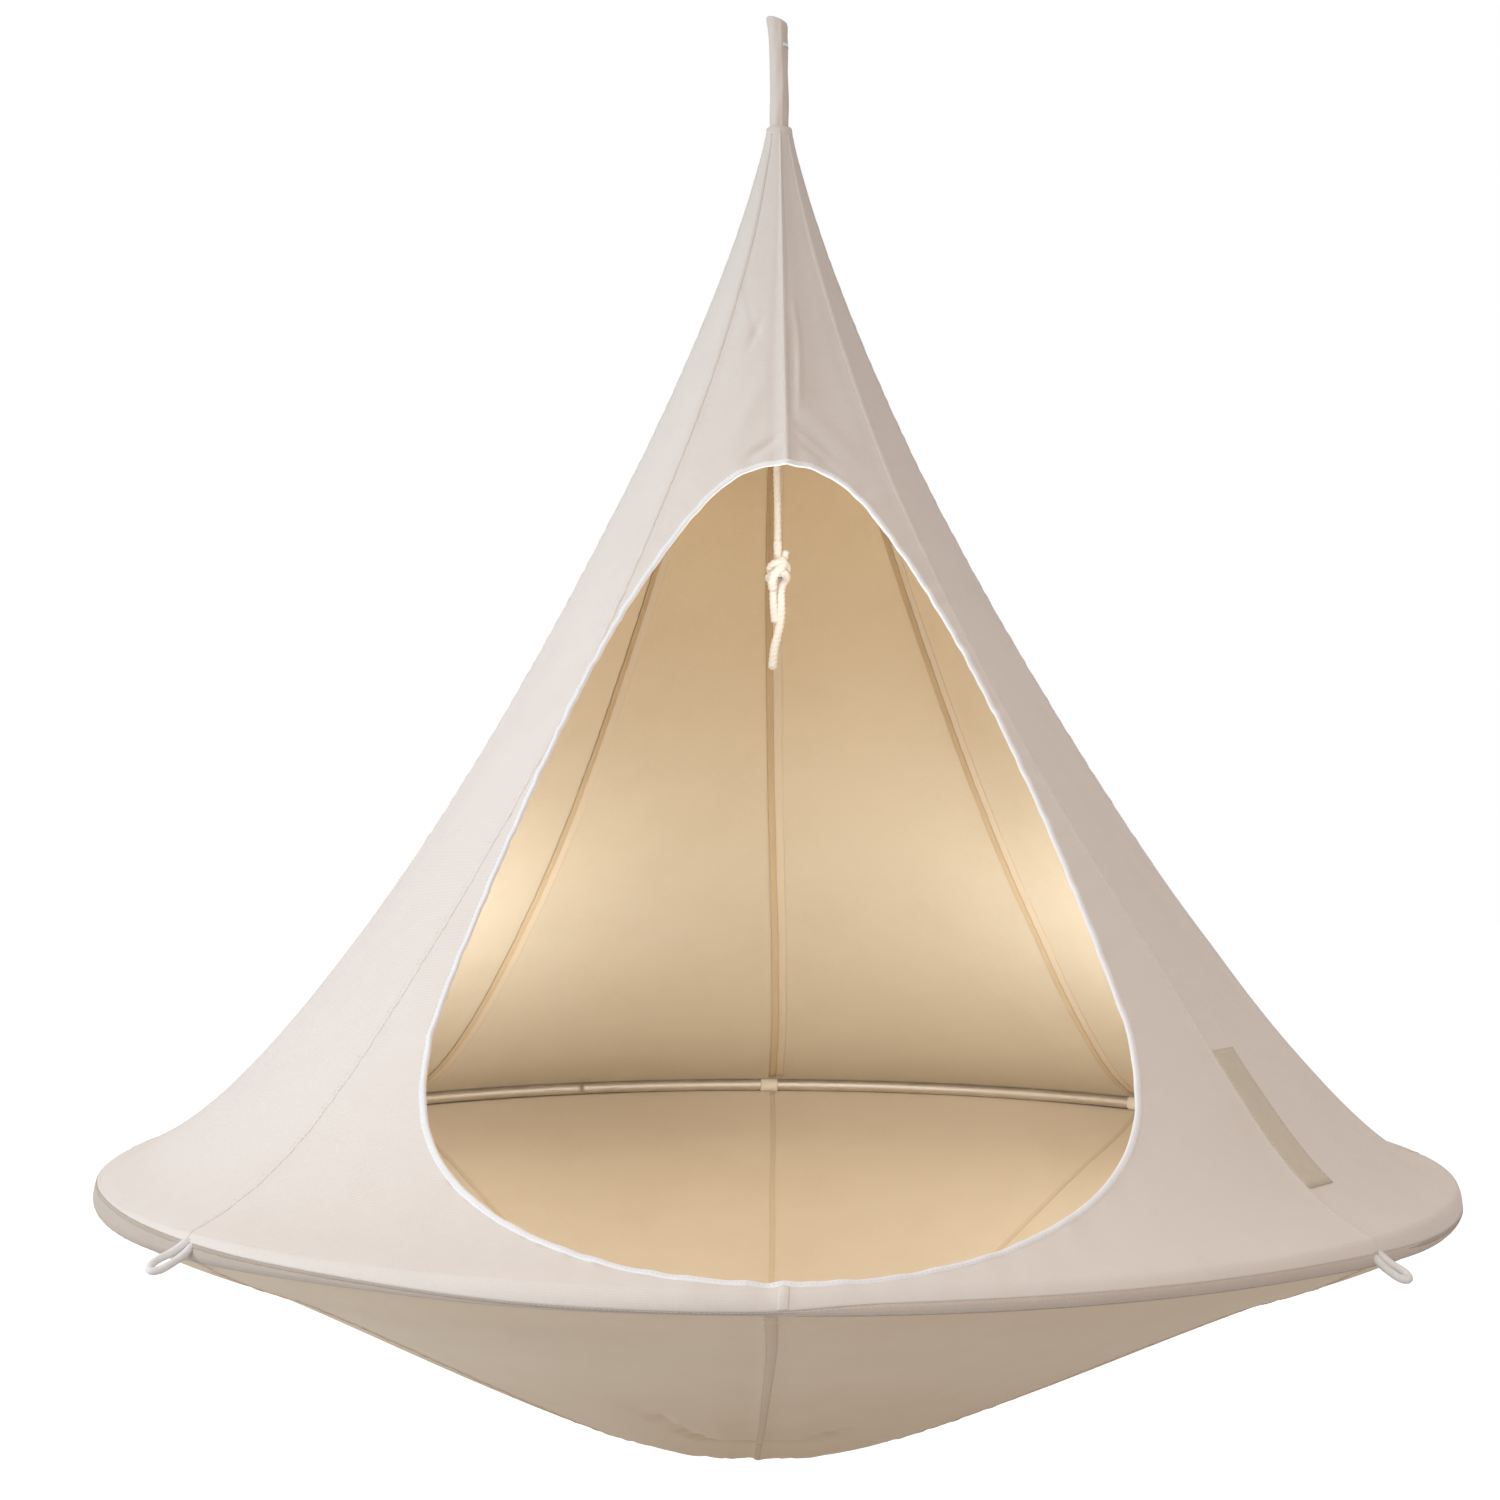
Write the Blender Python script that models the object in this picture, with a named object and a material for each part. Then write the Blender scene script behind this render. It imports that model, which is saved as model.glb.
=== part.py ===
"""Hanging cocoon tent: a fabric cone over a sagging floor, held round by a tube ring and hung by its neck.

The origin is the bearing point inside the top eye. +Z points up and the door faces -Y.
Heights are measured from the plane of the ring, and angles in degrees from the door's middle
towards +X. The tent's surface is one profile, from the middle of the floor out over the ring and
up to the collar. It is turned round the axis in straight steps, and every piece of cloth takes
its share of the rows of that profile and of its turn.
"""

import math
from functools import lru_cache

import bmesh
import bpy
from mathutils import Vector

# Fits
GAP = 0.0003
LINING_GAP = 0.0004

# Cloth
FABRIC = 0.0020
COLUMNS_PER_GORE = 6
SEAM_NAMES = ("front", "front_right", "right", "rear_right", "rear", "rear_left", "left", "front_left")
GORE_NAMES = ("front_right", "right_front", "right_rear", "rear_right",
              "rear_left", "left_rear", "left_front", "front_left")

# Ring
RIM_RADIUS = 0.750
TUBE_RADIUS = 0.0080
TUBE_WALL = 0.0012
TUBE_SIDES = 8
SECTION_NAMES = ("right", "rear", "left", "front")
SPIGOT_NAMES = ("front_right", "rear_right", "rear_left", "front_left")
SPIGOT_LENGTH = 0.120
TAB_WIDTH = 0.026
TAB_THICKNESS = 0.0015
TAB_END_ANGLE = math.radians(34.0)

# Floor
FLOOR_DEPTH = 0.300
FLOOR_ROUNDING = 0.120
FLOOR_TIP_RADIUS = 0.012
FLOOR_ROWS = 7
FLOOR_ROW_SPREAD = 1.3
DISC_RADIUS = 0.0725
DISC_THICKNESS = 0.0020

# Cone
CONE_RISE = 1.215
FLARE_SHARE = 0.118
FLARE_HEIGHT = 0.061
CONE_POWER = 1.323
FACET_FADE_POWER = 16
CONE_ROWS = 16
ROLL_ROWS = 4
BAND_ROWS = 3
BAND_TOP_ANGLE = math.radians(2.0)

# Door: it is as wide as leaves the side cloth, measured across, between it and the front gores' far seams
DOOR_SIDE_CLOTH = 0.0168
DOOR_HEAD_CLOTH = 0.442
DOOR_WIDEST_HEIGHT = 0.1787
DOOR_SILL = 0.0032
DOOR_UPPER_POWERS = (1.088, 0.549)
DOOR_LOWER_POWERS = (3.2, 0.428)
DOOR_POINTS = 14
BINDING_RADIUS = 0.0035

# Load straps and label
STRAP_WIDTH = 0.012
STRAP_THICKNESS = 0.0015
STRAP_LOWER_REACH = 0.012
STRAP_SPREAD_LIMIT = 0.99
LABEL_WIDTH = 0.050
LABEL_LOW = 0.044
LABEL_HIGH = 0.161
LABEL_THICKNESS = 0.0012
LABEL_SEAM_MARGIN = 0.002
LABEL_SEAM = "front_right"

# Neck
NECK_LENGTH = 0.127
MOUTH_SLANT = 0.010
SLEEVE_THICKNESS = 0.0015
SLEEVE_CLEARANCE = 0.0028
SLEEVE_TUCK = 0.003
EYE_RECESS = 0.002

# Swivel
EYE_BORE_RADIUS = 0.0053
EYE_WIRE_RADIUS = 0.0022
STEM_RADIUS = 0.0030
STEM_NECK = 0.0030
PLATE_THICKNESS = 0.0040
PLATE_RIM = 0.0007
NUT_RIM = 0.0020
NUT_THICKNESS = 0.0040
BOW_WIRE_RADIUS = 0.0022
BOW_ROOM = 0.0008

# Sling, link and crown eye
SLING_RADIUS = 0.0030
SLING_BEND_RADIUS = 0.0070
SLING_NUT_GAP = 0.0010
LINK_PLAY = 0.0005
LINK_WIRE_RADIUS = 0.0018
LINK_PIVOT_RISE = 0.0040
CROWN_WIRE_RADIUS = 0.0025
GATHER_TOP_DROP = 0.027
GATHER_LENGTH = 0.025

# Inner cord
CORD_RADIUS = 0.0042
CORD_EYE_GAP = 0.0004
CORD_EYE_ROOM = 0.0022
CORD_STEPS = 24
CORD_SWAY = 0.004
KNOT_DROP = 0.4270
KNOT_LENGTH = 0.050
KNOT_RADIUS = 0.0135
KNOT_FLATNESS = 0.8
KNOT_FULLNESS = 0.6
KNOT_END_SHARE = 0.08
TAIL_LENGTH = 0.090
TAIL_HALF_WIDTH = 0.0062

# Tie loops at the rim
LOOP_ANGLES = {"front_left": -45.0, "front_right": 45.0, "rear_right": 135.0, "rear_left": -135.0}
LOOP_WIRE_RADIUS = 0.0030
LOOP_BEND_RADIUS = 0.0052
LOOP_LENGTH = 0.0436
LOOP_DROOP = math.radians(22.0)
LOOP_ROOT_ANGLE = math.radians(-14.0)
LOOP_WIRE_SIDES = 6

# What follows from these for the cloth and the ring
GORES = len(GORE_NAMES)
RING_SECTIONS = len(SECTION_NAMES)
GORE_STEP = 360.0 / GORES
COLUMN_STEP = GORE_STEP / COLUMNS_PER_GORE
SPLIT = GAP / 2.0
BAND_INNER_RADIUS = TUBE_RADIUS + GAP
ROLL_RADIUS = BAND_INNER_RADIUS + FABRIC
RING_RADIUS = RIM_RADIUS - ROLL_RADIUS
DOOR_TOP = CONE_RISE - DOOR_HEAD_CLOTH
DOOR_BOTTOM = ROLL_RADIUS + DOOR_SILL
FLOOR_EDGE_ROW = FLOOR_ROWS + 1
BAND_TOP_ROW = FLOOR_EDGE_ROW + BAND_ROWS
CONE_BASE_ROW = BAND_TOP_ROW + ROLL_ROWS
COLLAR_ROW = CONE_BASE_ROW + CONE_ROWS

# What follows from these for the hanging gear: each width goes round what passes through it
NUT_RADIUS = STEM_RADIUS + NUT_RIM
BOW_RADIUS = NUT_RADIUS + BOW_ROOM + BOW_WIRE_RADIUS
LINK_BORE_RADIUS = SLING_RADIUS + CROWN_WIRE_RADIUS + GAP + LINK_PLAY
LINK_RADIUS = LINK_BORE_RADIUS + LINK_WIRE_RADIUS
CROWN_BEND_RADIUS = CORD_RADIUS + GAP + CROWN_WIRE_RADIUS
CORD_EYE_RADIUS = CROWN_WIRE_RADIUS + CORD_EYE_GAP + CORD_RADIUS
PLATE_RADIUS = PLATE_RIM + max(EYE_BORE_RADIUS + 2.0 * EYE_WIRE_RADIUS,
                               BOW_RADIUS + BOW_WIRE_RADIUS,
                               SLING_BEND_RADIUS + SLING_RADIUS,
                               LINK_RADIUS + LINK_WIRE_RADIUS)
SLEEVE_BORE_RADIUS = PLATE_RADIUS + GAP
SLEEVE_RADIUS = SLEEVE_BORE_RADIUS + SLEEVE_THICKNESS
COLLAR_RADIUS = SLEEVE_RADIUS + SLEEVE_CLEARANCE + FABRIC

# Heights from the origin, going down the hanging gear
HANG_HEIGHT = CONE_RISE + NECK_LENGTH - EYE_RECESS - 2.0 * EYE_WIRE_RADIUS
COLLAR_Z = CONE_RISE - HANG_HEIGHT
EYE_CENTRE_Z = -EYE_BORE_RADIUS
EYE_BOTTOM_Z = EYE_CENTRE_Z - EYE_BORE_RADIUS - 2.0 * EYE_WIRE_RADIUS
PLATE_TOP_Z = EYE_BOTTOM_Z - STEM_NECK
PLATE_BOTTOM_Z = PLATE_TOP_Z - PLATE_THICKNESS
PLATE_MIDDLE_Z = (PLATE_TOP_Z + PLATE_BOTTOM_Z) / 2.0
NUT_TOP_Z = PLATE_BOTTOM_Z - GAP
NUT_BOTTOM_Z = NUT_TOP_Z - NUT_THICKNESS
SLING_TOP_Z = NUT_BOTTOM_Z - SLING_NUT_GAP - SLING_RADIUS
BOW_BOTTOM_Z = SLING_TOP_Z - SLING_RADIUS - GAP - BOW_WIRE_RADIUS
SIDE_PIVOT_Z = COLLAR_Z + LINK_PIVOT_RISE
SLING_BOTTOM_Z = SIDE_PIVOT_Z - SPLIT - SLING_RADIUS
LINK_CENTRE_Z = SIDE_PIVOT_Z + SPLIT - LINK_BORE_RADIUS
FRONT_PIVOT_Z = LINK_CENTRE_Z - LINK_BORE_RADIUS + SPLIT
CROWN_TOP_Z = FRONT_PIVOT_Z + SPLIT + CROWN_WIRE_RADIUS
GATHER_BOTTOM_Z = COLLAR_Z - GATHER_TOP_DROP - GATHER_LENGTH
CROWN_BOTTOM_Z = GATHER_BOTTOM_Z - CORD_EYE_ROOM - CORD_EYE_RADIUS - CORD_RADIUS
CORD_TOP_Z = CROWN_BOTTOM_Z - CORD_EYE_RADIUS - CORD_RADIUS - GAP
KNOT_TOP_Z = CORD_TOP_Z - KNOT_DROP
KNOT_BOTTOM_Z = KNOT_TOP_Z - KNOT_LENGTH

AXIS_X = Vector((1, 0, 0))
AXIS_Y = Vector((0, 1, 0))

MATERIALS = {
    "canvas": ((0.82, 0.76, 0.70), 0.85, 0.0),
    "floor_canvas": ((0.74, 0.66, 0.57), 0.85, 0.0),
    "binding": ((0.90, 0.91, 0.93), 0.70, 0.0),
    "webbing": ((0.60, 0.49, 0.37), 0.90, 0.0),
    "aluminium": ((0.78, 0.78, 0.78), 0.35, 1.0),
    "steel": ((0.68, 0.69, 0.70), 0.30, 1.0),
    "rope": ((0.90, 0.88, 0.83), 0.90, 0.0),
    "loop_cord": ((0.93, 0.93, 0.93), 0.80, 0.0),
    "label": ((0.66, 0.60, 0.50), 0.90, 0.0),
}


def material(name):
    """Return the named finish, made on first use."""
    found = bpy.data.materials.get(name)
    if found:
        return found
    colour, roughness, metallic = MATERIALS[name]
    made = bpy.data.materials.new(name)
    made.use_nodes = True
    shader = made.node_tree.nodes["Principled BSDF"]
    shader.inputs["Base Color"].default_value = (*colour, 1.0)
    shader.inputs["Roughness"].default_value = roughness
    shader.inputs["Metallic"].default_value = metallic
    return made


def clear_scene():
    for old in list(bpy.data.objects):
        bpy.data.objects.remove(old, do_unlink=True)


def empty_at(name, place, parent=None):
    """Make an empty that marks a joint, at a place in world coordinates."""
    mark = bpy.data.objects.new(name, None)
    bpy.context.collection.objects.link(mark)
    mark.location = place
    if parent:
        mark.parent = parent
        mark.location = Vector(place) - parent.matrix_world.translation
    bpy.context.view_layer.update()
    return mark


def carry(obj, parent):
    """Parent an object that was modelled in world coordinates, with its origin on its parent's."""
    obj.data.transform(parent.matrix_world.inverted())
    obj.parent = parent


def new_object(name, data, finish):
    obj = bpy.data.objects.new(name, data)
    bpy.context.collection.objects.link(obj)
    obj.data.materials.append(material(finish))
    return obj


def mesh_from(name, bm, finish, smooth_degrees=35.0):
    """Close up a bmesh as an object with its faces pointing out."""
    bmesh.ops.remove_doubles(bm, verts=bm.verts, dist=1e-7)
    bmesh.ops.recalc_face_normals(bm, faces=bm.faces)
    mesh = bpy.data.meshes.new(name)
    bm.to_mesh(mesh)
    bm.free()
    mesh.shade_smooth()
    mesh.set_sharp_from_angle(angle=math.radians(smooth_degrees))
    return new_object(name, mesh, finish)


def add_loft(bm, sections, closed=False):
    """Join equal loops of points into a solid, capped at both ends or closed on itself."""
    rings = [[bm.verts.new(point) for point in section] for section in sections]
    count = len(rings[0])
    pairs = list(zip(rings, rings[1:]))
    if closed:
        pairs.append((rings[-1], rings[0]))
    for low, high in pairs:
        for i in range(count):
            j = (i + 1) % count
            bm.faces.new((low[i], low[j], high[j], high[i]))
    if not closed:
        bm.faces.new(rings[0])
        bm.faces.new(rings[-1])


def add_panel(bm, outer, inner):
    """Join two grids of points, face to face, into a thin solid with four straight edges."""
    front = [[bm.verts.new(point) for point in row] for row in outer]
    back = [[bm.verts.new(point) for point in row] for row in inner]
    rows, columns = len(front), len(front[0])
    for grid in (front, back):
        for i in range(rows - 1):
            for j in range(columns - 1):
                bm.faces.new((grid[i][j], grid[i][j + 1], grid[i + 1][j + 1], grid[i + 1][j]))
    for i in range(rows - 1):
        for j in (0, columns - 1):
            bm.faces.new((front[i][j], front[i + 1][j], back[i + 1][j], back[i][j]))
    for j in range(columns - 1):
        for i in (0, rows - 1):
            bm.faces.new((front[i][j], front[i][j + 1], back[i][j + 1], back[i][j]))


def add_wire(bm, points, across, radius, closed=False, sides=8):
    """Run a round section along a flat path; across is the direction square to its plane."""
    sections = []
    count = len(points)
    for i, point in enumerate(points):
        before = points[i - 1] if closed or i > 0 else point
        after = points[(i + 1) % count] if closed or i < count - 1 else point
        side = (after - before).normalized().cross(across)
        sections.append([point + radius * (math.cos(a) * side + math.sin(a) * across)
                         for a in even_turn(sides)])
    add_loft(bm, sections, closed)


def cylinder(name, radius, low, high, finish, sides=20):
    bm = bmesh.new()
    sections = []
    for z in (low, high):
        sections.append([Vector((radius * math.cos(a), radius * math.sin(a), z))
                         for a in even_turn(sides)])
    add_loft(bm, sections)
    return mesh_from(name, bm, finish)


def even_turn(count):
    return [2.0 * math.pi * i / count for i in range(count)]


def tube(name, points, radius, finish, closed=False, resolution=2):
    """Run a round section along points."""
    curve = bpy.data.curves.new(name, "CURVE")
    curve.dimensions = "3D"
    curve.bevel_depth = radius
    curve.bevel_resolution = resolution
    curve.use_fill_caps = not closed
    spline = curve.splines.new("POLY")
    spline.points.add(len(points) - 1)
    for slot, point in zip(spline.points, points):
        slot.co = (*point, 1.0)
    spline.use_cyclic_u = closed
    spline.use_smooth = True
    return new_object(name, curve, finish)


def boolean(obj, other, operation):
    """Combine with another object, which stays in the scene as a wire guide only."""
    step = obj.modifiers.new(operation.lower(), "BOOLEAN")
    step.operation = operation
    step.solver = "EXACT"
    step.object = other
    other.hide_render = True
    other.display_type = "WIRE"
    return obj


def stadium(bend_radius, half_straight, steps=8):
    """Points of an upright link round the origin, in its own plane, as pairs across and up."""
    points = []
    for i in range(steps + 1):
        a = math.pi * i / steps
        points.append((bend_radius * math.cos(a), half_straight + bend_radius * math.sin(a)))
    for i in range(steps + 1):
        a = math.pi * (1.0 + i / steps)
        points.append((bend_radius * math.cos(a), -half_straight + bend_radius * math.sin(a)))
    return points


def link_points(bend_radius, top, bottom, plane, steps=8):
    """Centre line of an upright link whose outer bends reach the heights top and bottom."""
    middle = (top + bottom) / 2.0
    half_straight = (top - bottom) / 2.0 - bend_radius
    across = Vector((1, 0, 0)) if plane == "XZ" else Vector((0, 1, 0))
    return [across * u + Vector((0, 0, middle + v))
            for u, v in stadium(bend_radius, half_straight, steps)]


# The tent's surface


def polar(angle, radius, height):
    a = math.radians(angle)
    return Vector((radius * math.sin(a), -radius * math.cos(a), height - HANG_HEIGHT))


def cone_curve(share, edge_radius):
    """Radius of the cone at a seam, at a share of its rise, with its flare at the rim."""
    fade = CONE_RISE / FLARE_HEIGHT
    flare = (math.exp(-share * fade) - math.exp(-fade)) / (1.0 - math.exp(-fade))
    lift = (1.0 - share) ** CONE_POWER
    return COLLAR_RADIUS + (edge_radius - COLLAR_RADIUS) * (
        FLARE_SHARE * flare + (1.0 - FLARE_SHARE) * lift)


def cone_leave_angle():
    """Angle round the tube at which the cone leaves the ring in a straight line."""
    angle = math.radians(60.0)
    for _ in range(6):
        edge = RING_RADIUS + ROLL_RADIUS * math.cos(angle)
        rise = CONE_RISE - ROLL_RADIUS * math.sin(angle)
        step = 1e-4
        slope = (edge - cone_curve(step, edge)) / (step * rise)
        angle = math.atan(slope)
    return angle


def floor_leave_angle():
    """Angle round the tube, below its middle, at which the floor leaves the ring."""
    reach = RING_RADIUS - DISC_RADIUS
    slope = floor_steepness() * reach / math.hypot(reach, FLOOR_ROUNDING)
    return -(math.pi / 2.0 - math.atan(slope))


def floor_steepness():
    reach = RING_RADIUS - DISC_RADIUS
    return FLOOR_DEPTH / (math.hypot(reach, FLOOR_ROUNDING) - FLOOR_ROUNDING)


def floor_height(radius, edge_radius, edge_height):
    """Height of the floor's underside, which is flat over the disc and rises to the ring."""
    def bowl(r):
        return floor_steepness() * math.hypot(max(0.0, r - DISC_RADIUS), FLOOR_ROUNDING)
    return edge_height + bowl(radius) - bowl(edge_radius)


def eased(index, count):
    return (1.0 - math.cos(math.pi * index / count)) / 2.0


@lru_cache(maxsize=None)
def tent_profile():
    """Radius and height at a seam, row by row, from the floor's middle to the collar."""
    low, high = floor_leave_angle(), cone_leave_angle()
    edge_radius = RING_RADIUS + ROLL_RADIUS * math.cos(low)
    edge_height = ROLL_RADIUS * math.sin(low)
    points = []
    radii = [FLOOR_TIP_RADIUS]
    for i in range(FLOOR_ROWS):
        radii.append(DISC_RADIUS + (edge_radius - DISC_RADIUS) * (i / FLOOR_ROWS) ** FLOOR_ROW_SPREAD)
    for radius in radii:
        points.append((radius, floor_height(radius, edge_radius, edge_height)))
    for i in range(BAND_ROWS):
        a = low + (BAND_TOP_ANGLE - low) * i / BAND_ROWS
        points.append((RING_RADIUS + ROLL_RADIUS * math.cos(a), ROLL_RADIUS * math.sin(a)))
    for i in range(ROLL_ROWS):
        a = BAND_TOP_ANGLE + (high - BAND_TOP_ANGLE) * i / ROLL_ROWS
        points.append((RING_RADIUS + ROLL_RADIUS * math.cos(a), ROLL_RADIUS * math.sin(a)))
    cone_edge = RING_RADIUS + ROLL_RADIUS * math.cos(high)
    cone_base = ROLL_RADIUS * math.sin(high)
    for i in range(CONE_ROWS + 1):
        share = eased(i, CONE_ROWS)
        height = cone_base + (CONE_RISE - cone_base) * share
        points.append((cone_curve(share, cone_edge), height))
    return tuple(points)


def facet_factor(angle, height):
    """Drawing-in of the cloth between seams, from none at the ring to flat near the collar."""
    share = max(0.0, height - ROLL_RADIUS) / (CONE_RISE - ROLL_RADIUS)
    depth = share * (1.0 - share ** FACET_FADE_POWER)
    off_seam = abs((angle + GORE_STEP / 2.0) % GORE_STEP - GORE_STEP / 2.0)
    half = math.radians(GORE_STEP / 2.0)
    flat = math.cos(half) / math.cos(half - math.radians(off_seam))
    return 1.0 - depth + depth * flat


@lru_cache(maxsize=None)
def column_profile(column, depth):
    """The profile at one column of the turn, moved in by a depth, square to its own slope."""
    angle = column * COLUMN_STEP
    points = [(r * facet_factor(angle, h), h) for r, h in tent_profile()]
    normals = []
    for (r0, h0), (r1, h1) in zip(points, points[1:]):
        length = math.hypot(r1 - r0, h1 - h0)
        normals.append(Vector(((h1 - h0) / length, -(r1 - r0) / length)))
    moved = []
    for i, (r, h) in enumerate(points):
        before = normals[max(0, i - 1)]
        after = normals[min(len(normals) - 1, i)]
        mitre = (before + after).normalized()
        reach = depth / mitre.dot(after)
        moved.append((r - reach * mitre.x, h - reach * mitre.y))
    return tuple(moved)


def profile_point(column, row, depth):
    points = column_profile(column % (GORES * COLUMNS_PER_GORE), depth)
    low = min(int(math.floor(row)), len(points) - 2)
    share = row - low
    r = points[low][0] + (points[low + 1][0] - points[low][0]) * share
    h = points[low][1] + (points[low + 1][1] - points[low][1]) * share
    return r, h


def tent_point(angle, row, depth=0.0):
    """Point of the tent's surface, straight between columns and rows as the cloth is."""
    column = math.floor(angle / COLUMN_STEP + 1e-9)
    share = angle / COLUMN_STEP - column
    start = polar(column * COLUMN_STEP, *profile_point(column, row, depth))
    end = polar((column + 1) * COLUMN_STEP, *profile_point(column + 1, row, depth))
    return start.lerp(end, share)


def row_moved(row, distance):
    """Row reached by going a distance along the profile, up if it is positive."""
    points = tent_profile()
    index = min(int(math.floor(row)), len(points) - 2)
    if distance < 0.0 and index == row:
        index -= 1
    (r0, h0), (r1, h1) = points[index], points[index + 1]
    return row + distance / math.hypot(r1 - r0, h1 - h0)


def row_at_height(height):
    """Row of the cone at which its seams reach a height."""
    points = tent_profile()
    for index in range(CONE_BASE_ROW, COLLAR_ROW):
        low, high = points[index][1], points[index + 1][1]
        if low <= height <= high:
            return index + (height - low) / (high - low)
    return float(COLLAR_ROW)


def rows_between(low, high):
    whole = range(int(math.floor(low)) + 1, int(math.ceil(high)))
    return [low] + [float(row) for row in whole] + [high]


def angles_between(low, high):
    """Angles from low to high, with each column's edge that lies well between them."""
    margin = 1e-6
    first = math.floor(low / COLUMN_STEP + margin) + 1
    last = math.ceil(high / COLUMN_STEP - margin)
    return [low] + [column * COLUMN_STEP for column in range(first, last)] + [high]


def ring_polar(angle, radius, height):
    """Point that follows the ring's straight steps between columns."""
    column = math.floor(angle / COLUMN_STEP + 1e-9)
    share = angle / COLUMN_STEP - column
    start = polar(column * COLUMN_STEP, radius, height)
    return start.lerp(polar((column + 1) * COLUMN_STEP, radius, height), share)


# Cloth


def gore_grid(start, low_row, high_row, depth):
    """Grid of one gore between two seams, held back from both by half a gap."""
    grid = []
    for row in rows_between(low_row, high_row):
        radius = profile_point(0, row, depth)[0]
        trim = math.degrees(SPLIT / radius)
        angles = angles_between(start, start + GORE_STEP)
        angles[0] += trim
        angles[-1] -= trim
        grid.append([tent_point(angle, row, depth) for angle in angles])
    return grid


def gore(name, start, low_row, high_row, finish):
    bm = bmesh.new()
    outer = gore_grid(start, low_row, high_row, 0.0)
    inner = gore_grid(start, low_row, high_row, FABRIC)
    add_panel(bm, outer, inner)
    return mesh_from(name, bm, finish)


def canopy_gore(name, start):
    return gore(name, start, row_moved(BAND_TOP_ROW, SPLIT), float(COLLAR_ROW), "canvas")


def floor_gore(name, start):
    return gore(name, start, 0.0, row_moved(FLOOR_EDGE_ROW, -SPLIT), "floor_canvas")


def door_share(height):
    """Half width of the door at a height, as a share of its widest."""
    if height >= DOOR_WIDEST_HEIGHT:
        share = (height - DOOR_WIDEST_HEIGHT) / (DOOR_TOP - DOOR_WIDEST_HEIGHT)
        inner, outer = DOOR_UPPER_POWERS
    else:
        share = (DOOR_WIDEST_HEIGHT - height) / (DOOR_WIDEST_HEIGHT - DOOR_BOTTOM)
        inner, outer = DOOR_LOWER_POWERS
    return max(0.0, 1.0 - min(1.0, share) ** inner) ** outer


@lru_cache(maxsize=None)
def door_widest():
    """Half of the door's greatest width, set by the height where the front gores leave least room."""
    rooms = []
    for radius, height in tent_profile()[CONE_BASE_ROW:]:
        if door_share(height) > 0.0:
            room = radius * math.sin(math.radians(GORE_STEP)) - DOOR_SIDE_CLOTH
            rooms.append(room / door_share(height))
    return min(rooms)


def door_half_width(height):
    return door_widest() * door_share(height)


def door_outline(grow=0.0):
    """Closed egg outline of the door seen from the front, as pairs across and up."""
    right = []
    for i in range(DOOR_POINTS + 1):
        swing = math.sin(math.pi / 2.0 * (1.0 - i / DOOR_POINTS))
        height = DOOR_WIDEST_HEIGHT + (DOOR_TOP - DOOR_WIDEST_HEIGHT) * swing
        right.append(Vector((door_half_width(height), height)))
    for i in range(1, DOOR_POINTS + 1):
        swing = math.sin(math.pi / 2.0 * i / DOOR_POINTS)
        height = DOOR_WIDEST_HEIGHT - (DOOR_WIDEST_HEIGHT - DOOR_BOTTOM) * swing
        right.append(Vector((door_half_width(height), height)))
    left = [Vector((-point.x, point.y)) for point in reversed(right[1:-1])]
    outline = right + left
    grown = []
    for i, point in enumerate(outline):
        along = outline[(i + 1) % len(outline)] - outline[i - 1]
        out = Vector((-along.y, along.x)).normalized()
        grown.append(point + grow * out)
    return grown


def door_cutter(grow):
    """Prism through the front of the tent, wider than the door's edge by grow."""
    bm = bmesh.new()
    outline = door_outline(grow)
    sections = []
    for y in (-2.0 * RIM_RADIUS, 0.0):
        sections.append([Vector((u, y, v - HANG_HEIGHT)) for u, v in outline])
    add_loft(bm, sections)
    return mesh_from("door_guide", bm, "binding")


def front_distance(across, height):
    """How far in front of the axis the cloth's middle lies, at a place seen from the front."""
    row = row_at_height(height)
    low, high = 0.0, math.copysign(90.0, across)
    for _ in range(30):
        middle = (low + high) / 2.0
        if abs(tent_point(middle, row, FABRIC / 2.0).x) < abs(across):
            low = middle
        else:
            high = middle
    return tent_point(low, row, FABRIC / 2.0).y


def door_binding():
    points = []
    for u, v in door_outline():
        points.append(Vector((u, front_distance(u, v), v - HANG_HEIGHT)))
    return tube("door_binding", points, BINDING_RADIUS, "binding", closed=True)


def rim_band():
    """The hem that closes the cone and the floor round the outside of the ring."""
    low = row_moved(FLOOR_EDGE_ROW, SPLIT)
    high = row_moved(BAND_TOP_ROW, -SPLIT)
    rows = rows_between(low, high)
    sections = []
    for column in range(GORES * COLUMNS_PER_GORE):
        angle = column * COLUMN_STEP
        outer = [tent_point(angle, row) for row in rows]
        inner = [tent_point(angle, row, FABRIC) for row in reversed(rows)]
        sections.append(outer + inner)
    bm = bmesh.new()
    add_loft(bm, sections, closed=True)
    return mesh_from("rim_band", bm, "canvas")


def load_strap(name, seam):
    """Webbing sewn inside one seam, from just above the ring to the gathered top."""
    low = row_moved(CONE_BASE_ROW, STRAP_LOWER_REACH)
    if name == "load_strap_front":
        low = row_at_height(DOOR_TOP + BINDING_RADIUS + LINING_GAP)
    rows = rows_between(low, row_at_height(CONE_RISE - GATHER_TOP_DROP))
    grids = []
    for depth in (FABRIC + LINING_GAP, FABRIC + LINING_GAP + STRAP_THICKNESS):
        grid = []
        for row in rows:
            radius = profile_point(0, row, depth)[0]
            half = min(COLUMN_STEP * STRAP_SPREAD_LIMIT, math.degrees(STRAP_WIDTH / 2.0 / radius))
            grid.append([tent_point(seam + side * half, row, depth) for side in (-1, 0, 1)])
        grids.append(grid)
    bm = bmesh.new()
    add_panel(bm, *grids)
    return mesh_from(name, bm, "webbing")


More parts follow.
